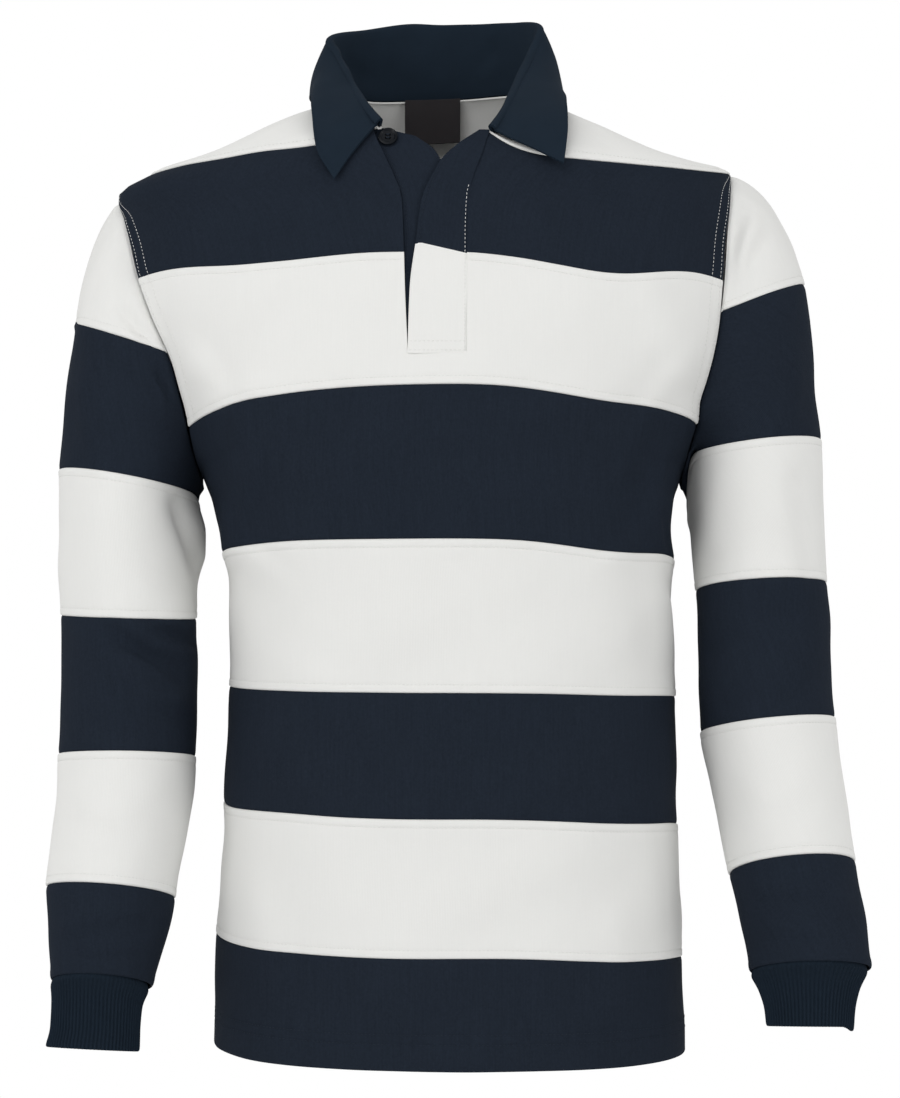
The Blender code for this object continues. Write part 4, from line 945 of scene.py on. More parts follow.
def at_distance(walk, values, distance):
    """The point or way at a distance from the start of a line, or from its end if that isn't above 0."""
    return sample(walk, values, distance if distance > 0 else walk[-1] + distance)


def facings(grid, ring):
    """The way that the cloth faces at each point of a grid."""
    down = np.gradient(grid, axis=0)
    if ring:
        across = np.roll(grid, -1, axis=1) - np.roll(grid, 1, axis=1)
    else:
        across = np.gradient(grid, axis=1)
    return unit(np.cross(down, across))


# ---------------------------------------------------------------- meshes

ROUND_RIM = ((0.7, 0.7), (0.0, 1.0), (-0.7, 0.7))  # across half the wall, and out of the edge
ONE_PLY = ((0.86, 0.6), (0.5, 0.85), (0.14, 0.6))
TWO_PLY_RIM = (*ONE_PLY, (0.0, 0.1), *((-across, beyond) for across, beyond in reversed(ONE_PLY)))
SEWN_RIM = 0.0002  # how far a rim that is sewn in bulges
FREE_RIM = 0.0006
SHARP_EDGE = math.radians(60)


def boundary(rows, columns, ring, notch):
    """The edge of a grid as loops of row and column, with the cloth on the right of the way."""
    top, bottom = [(0, j) for j in range(columns)], [(rows - 1, j) for j in range(columns)]
    if ring:
        return [top, bottom[::-1]]
    if notch:
        depth, left, right = notch
        inner = [(i, left) for i in range(1, depth + 1)] + [(depth, j) for j in range(left + 1, right + 1)]
        inner += [(i, right) for i in range(depth - 1, 0, -1)]
        top = top[: left + 1] + inner + top[right:]
    right_side = [(i, columns - 1) for i in range(1, rows)]
    left_side = [(i, 0) for i in range(rows - 2, 0, -1)]
    return [top + right_side + bottom[-2::-1] + left_side]


def cells(rows, columns, ring, notch):
    """The faces of a grid: the rows and the columns of their first, second, third and fourth corners."""
    i, j = np.meshgrid(np.arange(rows - 1), np.arange(columns if ring else columns - 1), indexing="ij")
    if notch:
        depth, left, right = notch
        kept = (i >= depth) | (j < left) | (j >= right)
        i, j = i[kept], j[kept]
    i, j = i.ravel(), j.ravel()
    return (i, j), (i + 1, j), (i + 1, j + 1), (i, j + 1)


def flat_places(panel):
    """Where each point lies on the cloth laid flat: across from its middle column, and down from its top."""
    columns = panel.grid.shape[1]
    along = np.concatenate((panel.across, panel.across[:, -1:]), axis=1)[:, : columns + 1]
    u = along - panel.across[:, [columns // 2]] * (0 if panel.ring else 1)
    return u, np.concatenate((panel.down, panel.down[:, :1]), axis=1)


def shell(name, panel, material, wall=JERSEY, centred=False, rim=ROUND_RIM, bulge=SEWN_RIM, notch=None):
    """A closed mesh: the panel, its inside a wall away, and a rim round its edges.

    notch is a gap in the top of the panel: the row it reaches and the columns on either side of it.
    """
    grid, facing = panel.grid, panel.facing
    rows, columns = grid.shape[:2]
    thickness = np.broadcast_to(np.asarray(wall, float), (rows, columns))[..., None]
    outer = grid + facing * (thickness / 2 if centred else 0 * thickness)
    inner = outer - facing * thickness
    points = [outer.reshape(-1, 3), inner.reshape(-1, 3)]
    u, v = flat_places(panel)
    ij = cells(rows, columns, panel.ring, notch)
    quads = np.stack([a * columns + b % columns for a, b in ij], axis=1)
    uvs = np.stack([np.stack((u[a, b], v[a, b % columns]), axis=1) for a, b in ij], axis=1)
    faces, corners = [quads, quads[:, ::-1] + rows * columns], [uvs, uvs[:, ::-1]]

    start = 2 * rows * columns
    for loop in boundary(rows, columns, panel.ring, notch):
        a, b = np.array(loop).T
        count = len(loop)
        edge = (outer[a, b] + inner[a, b]) / 2
        out = unit(np.cross(facing[a, b], np.roll(edge, -1, axis=0) - np.roll(edge, 1, axis=0)))
        half = thickness[a, b] / 2
        strips = [a * columns + b]
        for across, beyond in rim:
            points.append(edge + facing[a, b] * half * across + out * bulge * beyond)
            strips.append(start + np.arange(count))
            start += count
        strips.append(rows * columns + a * columns + b)
        edge_uv = np.stack((u[a, b], v[a, b]), axis=1)
        for one, other in zip(strips, strips[1:]):
            faces.append(np.stack((one, np.roll(one, -1), np.roll(other, -1), other), axis=1))
            turned = np.roll(edge_uv, -1, axis=0)
            corners.append(np.stack((edge_uv, turned, turned, edge_uv), axis=1))
    return mesh_piece(name, np.concatenate(points), np.concatenate(faces), material, np.concatenate(corners))


def mesh_piece(name, points, faces, material, corners=None):
    """A piece of the shirt from points and faces, with the points that no face uses left out."""
    used, faces = np.unique(faces, return_inverse=True)
    faces = faces.reshape(-1, corners.shape[1] if corners is not None else 3)
    data = bpy.data.meshes.new(name)
    data.from_pydata(points[used].tolist(), [], faces.tolist())
    if corners is not None:
        data.uv_layers.new(name="cloth").data.foreach_set("uv", corners.reshape(-1).astype(np.float32))
    data.shade_smooth()
    data.set_sharp_from_angle(angle=SHARP_EDGE)
    data.materials.append(material)
    piece = add_object(name, data)
    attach(piece, "root")
    return piece


def add_object(name, data):
    """A new object in the scene."""
    made = bpy.data.objects.new(name, data)
    bpy.context.scene.collection.objects.link(made)
    return made


def cloth(node, panel, material, slot, held="hung", name=None, **how):
    """The cloth that stands for a CAD node or a part of it: its shell, built in place of the node, which is
    hidden.
    """
    width, height = panel.flat_size()
    area = min(panel.flat_area(), width * height)
    piece = shell(f"{name or node}_cloth", panel, material, **how)
    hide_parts(node)


# ---------------------------------------------------------------- materials


class Nodes:
    """Short ways to add shader nodes to a material or to the world."""

    def __init__(self, owner, shader="Principled BSDF"):
        owner.use_nodes = True
        self.material, self.tree = owner, owner.node_tree
        self.shader = self.tree.nodes[shader]

    def add(self, kind, settings=(), **inputs):
        node = self.tree.nodes.new(kind)
        for key, value in dict(settings).items():
            setattr(node, key, value)
        for key, value in inputs.items():
            self.put(node.inputs[key.replace("_", " ")], value)
        return node

    def put(self, socket, value):
        if isinstance(value, bpy.types.NodeSocket):
            self.tree.links.new(value, socket)
        else:
            socket.default_value = value

    def math(self, operation, *values):
        node = self.add("ShaderNodeMath", {"operation": operation})
        for socket, value in zip(node.inputs, values):
            self.put(socket, value)
        return node.outputs[0]

    def noise(self, coordinates, scale, detail=2.0, stretch=(1, 1, 1)):
        mapping = self.add("ShaderNodeMapping", Vector=coordinates, Scale=stretch)
        found = self.add("ShaderNodeTexNoise", Vector=mapping.outputs[0], Scale=scale, Detail=detail)
        return found.outputs["Fac"]

    def varied(self, *sources):
        """1, more or less by each source: its values, the middle of their range and their weight."""
        total = 1.0
        for values, middle, weight in sources:
            change = self.math("MULTIPLY", self.math("SUBTRACT", values, middle), weight)
            total = self.math("ADD", change, total)
        return total

    def layered(self, base, *sources):
        """A height with others on top of it, each with its weight."""
        for values, weight in sources:
            base = self.math("ADD", base, self.math("MULTIPLY", values, weight))
        return base

    def surface(self, colour, tint, roughness, specular):
        """The colour made lighter or darker by a tint that varies over the surface, and the finish."""
        scaled = self.add("ShaderNodeVectorMath", {"operation": "SCALE"})
        scaled.inputs[0].default_value = colour
        self.put(scaled.inputs["Scale"], tint)
        self.put(self.shader.inputs["Base Color"], scaled.outputs[0])
        self.put(self.shader.inputs["Roughness"], roughness)
        self.put(self.shader.inputs["Specular IOR Level"], specular)

    def bump(self, height, strength, distance):
        bump = self.add("ShaderNodeBump", Strength=strength, Distance=distance, Height=height)
        self.put(self.shader.inputs["Normal"], bump.outputs[0])

    def on_body(self):
        return self.add("ShaderNodeTexCoord").outputs["Object"]

    def on_cloth(self):
        """Places on the cloth laid flat, in metres."""
        return self.add("ShaderNodeUVMap").outputs[0]


WALE = 0.00115  # width of a knitted column
COURSE = 0.00085  # height of a knitted row
STREAKS = (620, 26, 1)  # to the metre, across and along the knitted columns
CLOTH_BUMP = 0.0003
RESIN_BUMP = 0.0001
# Scales of the noises, to the metre
KNIT_PATCHES, KNIT_SPECKS, KNIT_FIBRES, KNIT_SWELLS = 24.0, 520.0, 900.0, 120.0
TWILL_PATCHES, TWILL_SWELLS = 45.0, 160.0
RESIN_CLOUDS, RESIN_GRAIN = 300.0, 1500.0
THREAD_TWISTS = 2500.0
FINE = 3.0  # detail of a noise with more than its main swells
NOISE_MIDDLE, LINE_MIDDLE = 0.5, 0.25  # of the ranges of a noise and of lines that go up and down
# How much the finer marks change each surface
TWILL_LINES, TWILL_MOTTLE, RESIN_MOTTLE, THREAD_MOTTLE = 0.5, 0.25, 0.5, 0.5
LOOP_SLANT, LOOP_RELIEF, FIBRE_RELIEF, KNIT_SWELL = 1.2, 0.8, 0.5, 1.6
WARP_RELIEF, TWILL_SWELL, RESIN_RELIEF = 0.5, 1.5, 0.1
# Roughness and specular level
KNIT_FINISH, TWILL_FINISH, THREAD_FINISH = (0.95, 0.05), (0.9, 0.05), (0.8, 0.1)
RESIN_ROUGHNESS, RESIN_UNEVEN, RESIN_SPECULAR = 0.25, 0.2, 0.16


def knit_material(name, colour, streaks, mottle, grain, ribs, relief):
    """Jersey: columns of slanted loops, with faint streaks along them, mottling and a fine grain."""
    nodes = Nodes(bpy.data.materials.new(name))
    place, body = nodes.on_cloth(), nodes.on_body()
    u, v = nodes.add("ShaderNodeSeparateXYZ", Vector=place).outputs[:2]
    rib = nodes.math("PINGPONG", nodes.math("DIVIDE", u, WALE), 0.5)
    slant = nodes.math("MULTIPLY", rib, LOOP_SLANT)
    loop = nodes.math("PINGPONG", nodes.math("ADD", nodes.math("DIVIDE", v, COURSE), slant), 0.5)
    streak = nodes.noise(place, 1.0, FINE, STREAKS)
    patch, speck = nodes.noise(body, KNIT_PATCHES, FINE), nodes.noise(body, KNIT_SPECKS)
    marks = ((streak, streaks), (patch, mottle), (speck, grain))
    noises = [(values, NOISE_MIDDLE, weight) for values, weight in marks]
    tint = nodes.varied(*noises, (rib, LINE_MIDDLE, ribs))
    nodes.surface(colour, tint, *KNIT_FINISH)
    fibre, swell = nodes.noise(body, KNIT_FIBRES), nodes.noise(body, KNIT_SWELLS, FINE)
    height = nodes.layered(slant, (loop, LOOP_RELIEF), (fibre, FIBRE_RELIEF), (swell, KNIT_SWELL))
    nodes.bump(height, relief, CLOTH_BUMP)
    return nodes.material


def twill_material(name, colour, pitch, relief):
    """A woven cloth with fine diagonal lines."""
    nodes = Nodes(bpy.data.materials.new(name))
    place, body = nodes.on_cloth(), nodes.on_body()
    u, v = nodes.add("ShaderNodeSeparateXYZ", Vector=place).outputs[:2]
    line = nodes.math("PINGPONG", nodes.math("DIVIDE", nodes.math("ADD", u, v), pitch), 0.5)
    warp = nodes.math("PINGPONG", nodes.math("DIVIDE", u, pitch / 2), 0.5)
    patch, swell = nodes.noise(body, TWILL_PATCHES, FINE), nodes.noise(body, TWILL_SWELLS, FINE)
    tint = nodes.varied((line, LINE_MIDDLE, TWILL_LINES), (patch, NOISE_MIDDLE, TWILL_MOTTLE))
    nodes.surface(colour, tint, *TWILL_FINISH)
    nodes.bump(nodes.layered(line, (warp, WARP_RELIEF), (swell, TWILL_SWELL)), relief, CLOTH_BUMP)
    return nodes.material


def moulded_material(name, colour):
    """Moulded resin with a fine, uneven gloss."""
    nodes = Nodes(bpy.data.materials.new(name))
    body = nodes.on_body()
    cloud = nodes.noise(body, RESIN_CLOUDS, FINE)
    roughness = nodes.math("ADD", nodes.math("MULTIPLY", cloud, RESIN_UNEVEN), RESIN_ROUGHNESS)
    tint = nodes.varied((cloud, NOISE_MIDDLE, RESIN_MOTTLE))
    nodes.surface(colour, tint, roughness, RESIN_SPECULAR)
    nodes.bump(nodes.noise(body, RESIN_GRAIN), RESIN_RELIEF, RESIN_BUMP)
    return nodes.material


def thread_material(name, colour, sheen):
    """Twisted sewing thread."""
    nodes = Nodes(bpy.data.materials.new(name))
    twist = nodes.noise(nodes.on_body(), THREAD_TWISTS, 1.0)
    nodes.surface(colour, nodes.varied((twist, NOISE_MIDDLE, THREAD_MOTTLE)), *THREAD_FINISH)
    nodes.shader.inputs["Sheen Weight"].default_value = sheen
    return nodes.material


navy_knit = knit_material("navy_jersey", NAVY, streaks=0.30, mottle=0.14, grain=0.40, ribs=0.14, relief=0.5)
white_knit = knit_material(
    "white_jersey", WHITE, streaks=0.03, mottle=0.02, grain=0.02, ribs=0.02, relief=0.2
)
navy_twill = twill_material("navy_twill", TWILL_NAVY, pitch=0.0012, relief=0.4)
navy_rib = knit_material("navy_rib", RIB_NAVY, streaks=0.20, mottle=0.10, grain=0.30, ribs=0.14, relief=0.5)
black_tape = twill_material("black_tape", LABEL_BLACK, pitch=0.0006, relief=0.3)
button_resin = moulded_material("button_resin", BUTTON_NAVY)
white_thread = thread_material("white_thread", WHITE_THREAD, sheen=0.2)
navy_thread = thread_material("navy_thread", NAVY_THREAD, sheen=0.0)
BAND_LOOKS = {"navy": (navy_knit, "navy_jersey"), "white": (white_knit, "white_jersey")}


def band_colour(band):
    """The colour of a band of the body, counted from the navy one at the chest."""
    return "navy" if band % 2 == 0 else "white"


# ---------------------------------------------------------------- stitches

sewing = {"white_on_navy": [], "white_on_white": [], "navy": []}
CAPSULE_SIDES = 6
CAPSULE_SHOULDER = 0.32  # where a stitch begins to taper, by its length
UNEVEN_WAY = 0.05  # of the stitches, and of their length
UNEVEN_LENGTH = 0.1


def capsule():
    """Points and faces of one stitch of length 1 and radius 1, with pointed ends."""
    rings = []
    for place in (-CAPSULE_SHOULDER, CAPSULE_SHOULDER):
        for k in range(CAPSULE_SIDES):
            angle = 2 * math.pi * k / CAPSULE_SIDES
            rings.append((place, math.cos(angle), math.sin(angle)))
    points = np.array([(-0.5, 0, 0.0), *rings, (0.5, 0, 0.0)])
    faces, last = [], len(points) - 1
    for k in range(CAPSULE_SIDES):
        one, other = 1 + k, 1 + (k + 1) % CAPSULE_SIDES
        far_one, far_other = one + CAPSULE_SIDES, other + CAPSULE_SIDES
        faces += [(0, other, one), (one, other, far_other)]
        faces += [(one, far_other, far_one), (last, far_one, far_other)]
    return points, np.array(faces)


def sew(kind, *lines):
    """Notes lines that are sewn with one kind of stitch."""
    sewing[kind].extend(lines)


def sew_stripe(panel):
    """The rows beside the upper and the lower edge of a white stripe."""
    sew("white_on_white", panel.row_at(STRIPE_STITCH), panel.row_at(-STRIPE_STITCH))


def stitch_places(points, facing, pitch):
    """Evenly spaced places along a line, with the way of the line and of the cloth at each."""
    walk = np.concatenate(([0], np.cumsum(length(np.diff(points, axis=0)))))
    count = int(walk[-1] / pitch)
    if count < 1:
        return (np.zeros((0, 3)),) * 3
    at = (np.arange(count) + 0.5) * walk[-1] / count
    way = unit(sample(walk, points, at + pitch / 2) - sample(walk, points, at - pitch / 2))
    return sample(walk, points, at), way, unit(sample(walk, facing, at))


def make_stitches(name, lines, material, proud, pitch=STITCH_PITCH, stitch=STITCH_LENGTH):
    """All the stitches of some lines as one mesh, lying proud of the cloth by a share of their radius."""
    found = [stitch_places(*line, pitch) for line in lines]
    places, ways, faces_out = (np.concatenate(parts) for parts in zip(*found))
    rng = np.random.default_rng(len(places))
    ways = unit(ways + rng.normal(0, UNEVEN_WAY, ways.shape))
    side = unit(np.cross(faces_out, ways))
    shape, triangles = capsule()
    lengths = stitch * rng.uniform(1 - UNEVEN_LENGTH, 1 + UNEVEN_LENGTH, len(places))
    points = (
        (places + faces_out * STITCH_RADIUS * proud)[:, None]
        + shape[None, :, :1] * (ways * lengths[:, None])[:, None]
        + shape[None, :, 1:2] * side[:, None] * STITCH_RADIUS
        + shape[None, :, 2:] * faces_out[:, None] * STITCH_RADIUS
    )
    faces = triangles[None] + (np.arange(len(places)) * len(shape))[:, None, None]
    piece = mesh_piece(name, points.reshape(-1, 3), faces.reshape(-1, 3), material)


# ---------------------------------------------------------------- body panels


def side_relief(to_edge, edge_z):
    """The armhole's edge lies over the sleeve, and below it the side seam is plain."""
    above = smooth(*SIDE_FADE, edge_z)[:, None]
    return above * edge_height("armhole", to_edge) + (1 - above) * edge_height("plain", to_edge)


def body_stations(band):
    """Stations of a band's rows. A navy band's edges run on a little under its neighbours'."""
    height = abs(SEAMS[band + 1].front - SEAMS[band].front)
    tuck = TUCKED / height if band_colour(band) == "navy" else 0.0
    shares = spaced(height, last=HEM_STEPS if band == HEM_BAND else EDGE_STEPS)
    top, bottom = band - tuck, band + 1 + (0 if band == HEM_BAND else tuck)
    return top + (bottom - top) * shares


def body_panel(face, band, grid, sides=(True, True)):
    """A band of the body with its relief. sides tells whether it starts, and ends, at a side of the body."""
    panel = Panel(grid)
    top = "under" if band_colour(band) == "navy" else "over"
    bottom = "hem" if band == HEM_BAND else top
    height = edge_height(top, panel.down) + edge_height(bottom, panel.up())
    if sides[0]:
        height = height + side_relief(panel.from_start(), grid[:, 0, 2])
    if sides[1]:
        height = height + side_relief(panel.from_end(), grid[:, -1, 2])
    panel.raise_by(height + body_relief(WRINKLES[face], panel.grid))
    return panel


def body_wall(band, panel):
    """The hem is turned up inside, which makes it thicker."""
    if band < HEM_BAND:
        return JERSEY
    return JERSEY + HEM_PLY * (1 - smooth(HEM_DEPTH - HEM_FADE, HEM_DEPTH, panel.up()))


def point_at_height(line, height):
    order = np.argsort(line[:, 2])
    return sample(line[order, 2], line[order], height)


def armhole_row(panel, side, distance, at_start):
    """A sewing row beside the armhole. Above the armhole's top it curves round to the shoulder's ridge."""
    edge = panel.grid[:, 0 if at_start else -1]
    above = length(edge - point_at_height(edge, ARMHOLE_TOP[side]))
    above = np.where(edge[:, 2] > ARMHOLE_TOP[side], above, 0.0)
    reach = np.sqrt(np.maximum(distance**2 - above**2, 0.0))
    points, facing = panel.column_at(reach if at_start else -reach)
    kept = (above < distance) & (points[:, 2] > ARMHOLE_FOOT)
    return points[kept], facing[kept]


def sew_armholes(face, band, panel, sides=(True, True)):
    """The rows beside the armholes, on the bands that reach them."""
    kind = "white_on_navy" if band_colour(band) == "navy" else "white_on_white"
    for distance in ARMHOLE_STITCHES:
        for chosen, at_start in zip(sides, (True, False)):
            if chosen and band < ARMHOLE_BANDS:
                side = "right" if at_start == (face == "front") else "left"
                sew(kind, armhole_row(panel, side, distance, at_start))


def front_columns(levels):
    """Angles of the front's columns: up to the placket's opening, over it and on from it."""
    right, left = levels.end("right"), levels.end("left")
    open_right, open_left = (opening_angle(levels, side) for side in SIDES)
    shares, between = spaced(FRONT_HALF), np.linspace(0, 1, OPENING_COLUMNS + 2)[1:-1]
    return (
        right + (open_right - right) * shares,
        open_right + (open_left - open_right) * between,
        open_left + (left - open_left) * shares,
    )


def make_chest():
    """The two navy pieces on both sides of the placket."""
    levels = Levels("front", body_stations(0))
    beside_right, _, beside_left = front_columns(levels)
    for side, angles in (("right", beside_right), ("left", beside_left)):
        sides = (side == "right", side == "left")
        panel = body_panel("front", 0, levels.points(angles), sides)
        cloth(f"front_band_2_{side}", panel, *BAND_LOOKS["navy"])
        sew_armholes("front", 0, panel, sides)


def make_placket_stripe():
    """The white stripe of the front with a notch for the placket, which stops its upper sewing row."""
    stations = body_stations(1)
    levels = Levels("front", stations)
    columns = front_columns(levels)
    panel = body_panel("front", 1, levels.points(np.hstack(columns)))
    first = columns[0].shape[1] - 1
    last = first + columns[1].shape[1] + 1
    notch = (int(np.searchsorted(stations, PLACKET_LEVEL)), first, last)
    cloth("front_band_3", panel, *BAND_LOOKS["white"], notch=notch)
    points, facing = panel.row_at(STRIPE_STITCH)
    for part in (slice(first - NOTCH_CLEAR), slice(last + 1 + NOTCH_CLEAR, None)):
        sew("white_on_white", (points[part], facing[part]))
    sew("white_on_white", panel.row_at(-STRIPE_STITCH))
    sew_armholes("front", 1, panel)


def make_band(face, band):
    """A band of the front or back in one piece, which runs from one side of the body to the other."""
    levels = Levels(face, body_stations(band))
    start, end = (levels.end(side) for side in (SIDES if face == "front" else reversed(SIDES)))
    panel = body_panel(face, band, levels.points(start + (end - start) * spaced(BODY_WIDTH)))
    colour = band_colour(band)
    cloth(f"{face}_band_{band + 2}", panel, *BAND_LOOKS[colour], wall=body_wall(band, panel))
    if colour == "white":
        sew_stripe(panel)
    if band == HEM_BAND:
        sew("navy", *(panel.row_at(-distance) for distance in HEM_STITCHES))
    sew_armholes(face, band, panel)


def make_body():
    make_chest()
    make_band("back", 0)
    make_placket_stripe()
    make_band("back", 1)
    for band in range(2, HEM_BAND + 1):
        make_band("front", band)
        make_band("back", band)


def make_yokes():
    down = spaced(YOKE_HEIGHT)
    for side, way in (("right", 1), ("left", -1)):
        finish_yoke(f"front_yoke_{side}", yoke_grid("front", side, spaced(FRONT_HALF), down)[:, ::way])
    share = spaced(BACK_YOKE_HALF, last=(0.0,))
    left = yoke_grid("back", "left", share, down)
    right = yoke_grid("back", "right", share, down)[:, ::-1]
    finish_yoke("back_yoke", np.concatenate((left, right[:, 1:]), axis=1))


def finish_yoke(node, grid):
    panel = Panel(grid)
    height = edge_height("over", panel.up()) + edge_height("plain", panel.down)
    fade = 1.0
    for to_edge in (panel.down, panel.from_start(), panel.from_end()):
        fade = fade * smooth(0, YOKE_FADE, to_edge)
    panel.raise_by(height + waves(panel.grid) * fade)
    cloth(node, panel, *BAND_LOOKS["white"])
    sew("white_on_white", panel.row_at(-STRIPE_STITCH))


# ---------------------------------------------------------------- sleeve panels


def make_sleeve(side):
    sleeve = Sleeve(side)
    front, back = sleeve.corner_angle("front"), sleeve.corner_angle("back")
    cap_columns = -back + (front + back) * spaced(CAP_WIDTH)
    rest = front + (2 * math.pi - back - front) * spaced(ARMHOLE_WIDTH)[1:-1]
    make_cap(sleeve, cap_columns)
    make_upper_band(sleeve, np.concatenate((cap_columns, rest)), len(cap_columns))
    for band in range(len(SLEEVES[side]) - 1):
        make_lower_band(sleeve, band)


def sleeve_panel(sleeve, part, found, kinds, colour, ring=True, sunk=False):
    """A piece of the sleeve. Its top lies under the body's edge in the columns that sunk marks."""
    grid, angle, level = found
    top, bottom = kinds
    panel = Panel(grid, ring)
    at_top = np.where(sunk, edge_height("sunk", panel.down), edge_height(top, panel.down))
    beside_armhole = smooth(0, SLEEVE_FADE, panel.down) if level.min() < 0 else 1.0
    relief = beside_armhole * sleeve_relief(sleeve.side, angle, level, panel.grid)
    panel.raise_by(edge_height(bottom, panel.up()) + at_top + relief)
    cloth(f"sleeve_{sleeve.side}_{part}", panel, *BAND_LOOKS[colour])
    return panel


def make_cap(sleeve, columns):
    bottom = np.maximum(sleeve.first_seam(columns), CAP_LEAST)
    found = sleeve.grid(columns, -1 + 0 * columns, bottom, spaced(CAP_HEIGHT))
    panel = sleeve_panel(sleeve, "cap", found, ("sunk", "over"), "white", ring=False)
    sew("white_on_white", panel.row_at(-STRIPE_STITCH))


def make_upper_band(sleeve, columns, cap_count):
    """The band that meets the cap on top and the armhole below it."""
    tuck = TUCKED / SLEEVE_BAND
    below_cap = np.arange(len(columns)) < cap_count
    seam = np.maximum(sleeve.first_seam(columns), CAP_LEAST)
    top = np.where(below_cap, np.maximum(seam - tuck, -1), -1.0)
    found = sleeve.grid(columns, top, tuck + 0 * columns, spaced(SLEEVE_BAND))
    sunk = ~below_cap if sleeve.side == "right" else ~below_cap[::-1]
    sleeve_panel(sleeve, "band_2", found, ("under", "under"), "navy", sunk=sunk[None])


def make_lower_band(sleeve, band):
    columns = np.arange(0, 2 * math.pi, SPACING / SLEEVE_ROUND * 2 * math.pi)
    colour, kind, tuck = ("navy", "under", TUCKED / SLEEVE_BAND) if band % 2 else ("white", "over", 0.0)
    last = band == len(sleeve.rings) - 2
    bottom = band + 1 + (0 if last else tuck)
    found = sleeve.grid(columns, band - tuck + 0 * columns, bottom + 0 * columns, spaced(SLEEVE_BAND))
    kinds = (kind, "cuff" if last else kind)
    panel = sleeve_panel(sleeve, f"band_{band + 3}", found, kinds, colour)
    if colour == "white":
        sew_stripe(panel)


def make_cuff(side):
    """Ribs run down the cuff and fade out where it is sewn to the sleeve."""
    count = RIBS * RIB_COLUMNS
    angle = 2 * math.pi * np.arange(count) / count
    index = np.array(CUFF_ROWS)[:, None]
    rib = (0.5 - 0.5 * np.cos(angle * RIBS)) ** RIB_ROUND
    lift = RIB_HEIGHT * rib * (RIB_START + (1 - RIB_START) * smooth(0, CUFF_FULL, index))
    tuck = np.exp(-((index / CUFF_TUCKED) ** 2))
    roll = -CUFF_TUCK * tuck - CUFF_ROLL * smooth(CUFF_ROLLED, CUFF_END, index)
    grid = ring_points(CUFFS[side], index + 0 * angle, angle + 0 * index, lift + roll)
    grid[..., 2] += CUFF_REACH * tuck
    corner = smooth(CUFF_DROOPED, CUFF_END, index) * np.exp((np.cos(angle) - 1) / CORNER_WIDTH)
    grid[..., 2] -= CUFF_CORNER[side] * corner
    panel = Panel(grid[:, :: 1 if side == "right" else -1], ring=True)
    cloth(f"cuff_{side}", panel, navy_rib, "navy_rib", held="stretched", wall=RIB_WALL, bulge=FREE_RIM)


# ---------------------------------------------------------------- collar, placket, label and button


def collar_grid(index):
    """The middle of the collar's cloth, a section for each index: up the stand, over and down the leaf."""
    seam, fold, edge = (vector(COLLAR, name, index) for name in ("seam", "fold", "edge"))
    before, after = vector(COLLAR, "seam", index - COLLAR_NEAR), vector(COLLAR, "seam", index + COLLAR_NEAR)
    along = unit(after - before)
    up = unit(fold - seam)
    out = unit(np.cross(up, along))
    out = out * np.sign(np.sum(out * (edge - seam), axis=-1))[:, None]
    centre = fold - up * FOLD_RADIUS
    foot, top, leaf = seam + up * NECK_GAP, centre - out * FOLD_RADIUS, centre + out * FOLD_RADIUS
    stand = [foot + (top - foot) * share for share in np.linspace(0, 1, STAND_ROWS + 1)[:-1]]
    turn = [math.pi * share for share in np.linspace(0, 1, TURN_ROWS)]
    over = [centre + FOLD_RADIUS * (up * math.sin(a) - out * math.cos(a)) for a in turn]
    shares = spaced(LEAF_HEIGHT, LEAF_SPACING, first=LEAF_STEPS, last=COLLAR_STEPS)[1:]
    bulge = [LEAF_BULGE * math.sin(math.pi * share) for share in shares]
    hang = [leaf + (edge - leaf) * share + out * rise for share, rise in zip(shares, bulge)]
    return np.array(stand + over + hang)


def make_collar():
    index = COLLAR_LAST * spaced(COLLAR_WIDTH, COLLAR_SPACING, first=COLLAR_STEPS, last=COLLAR_STEPS)
    panel = Panel(collar_grid(index)[:, ::-1])
    free = np.minimum(panel.up(), np.minimum(panel.from_start(), panel.from_end()))
    inside, width, depth = PRESSED
    pressed = -depth * np.exp(-(((free - inside) / width) ** 2))
    panel.raise_by(pressed + body_relief(COLLAR_WRINKLES, panel.grid) * smooth(0, COLLAR_FADE, panel.down))
    make = {"held": "folded", "wall": TWILL, "centred": True, "rim": TWO_PLY_RIM, "bulge": FREE_RIM}
    cloth("collar", panel, navy_twill, "navy_twill", **make)


def heights_between(top, bottom):
    """Heights of a placket strip's rows."""
    shares = spaced(abs(bottom - top), PLACKET_SPACING["down"], first=FREE_STEPS, last=FREE_STEPS)
    return top + (bottom - top) * shares


def placket_panel(side, edges, top, bottom, lift, rise):
    """A strip of the placket from the front's edge beside the opening to its own free edge."""
    heights = heights_between(top, bottom)
    beside = Levels("front", np.linspace(0, PLACKET_LEVEL, OPENING_POINTS))
    sewn_points = beside.points(opening_angle(beside, side))[:, 0]
    gap = PLACKET_GAP if side == "right" else -PLACKET_GAP
    at_start, at_end = heights + rise(heights, 0.0), heights + rise(heights, 1.0)
    sewn_z, free_z = (at_start, at_end) if side == "right" else (at_end, at_start)
    sewn = np.interp(-sewn_z, -sewn_points[:, 2], sewn_points[:, 0]) + gap
    free = column(edges, "z", free_z, "x")
    shares = spaced(PLACKET_WIDTH, PLACKET_SPACING["across"], first=FREE_STEPS, last=FREE_STEPS)
    low, high = np.minimum(sewn, free)[:, None], np.maximum(sewn, free)[:, None]
    levels = front_levels(heights)
    x = low + (high - low) * shares
    z = heights[:, None] + rise(heights[:, None], shares)
    return Panel(levels.points(levels.angle(x), lift(x, z, free[:, None]), z))


def underlap_rise(z, share):
    """The top of the underlap runs up to the neck seam on its sewn side."""
    near_top = 1 - np.minimum((UNDERLAP_EDGE[0].z - z) / SEAM_REACH, 1)
    return near_top * UNDERLAP_RISE * (1 - share)


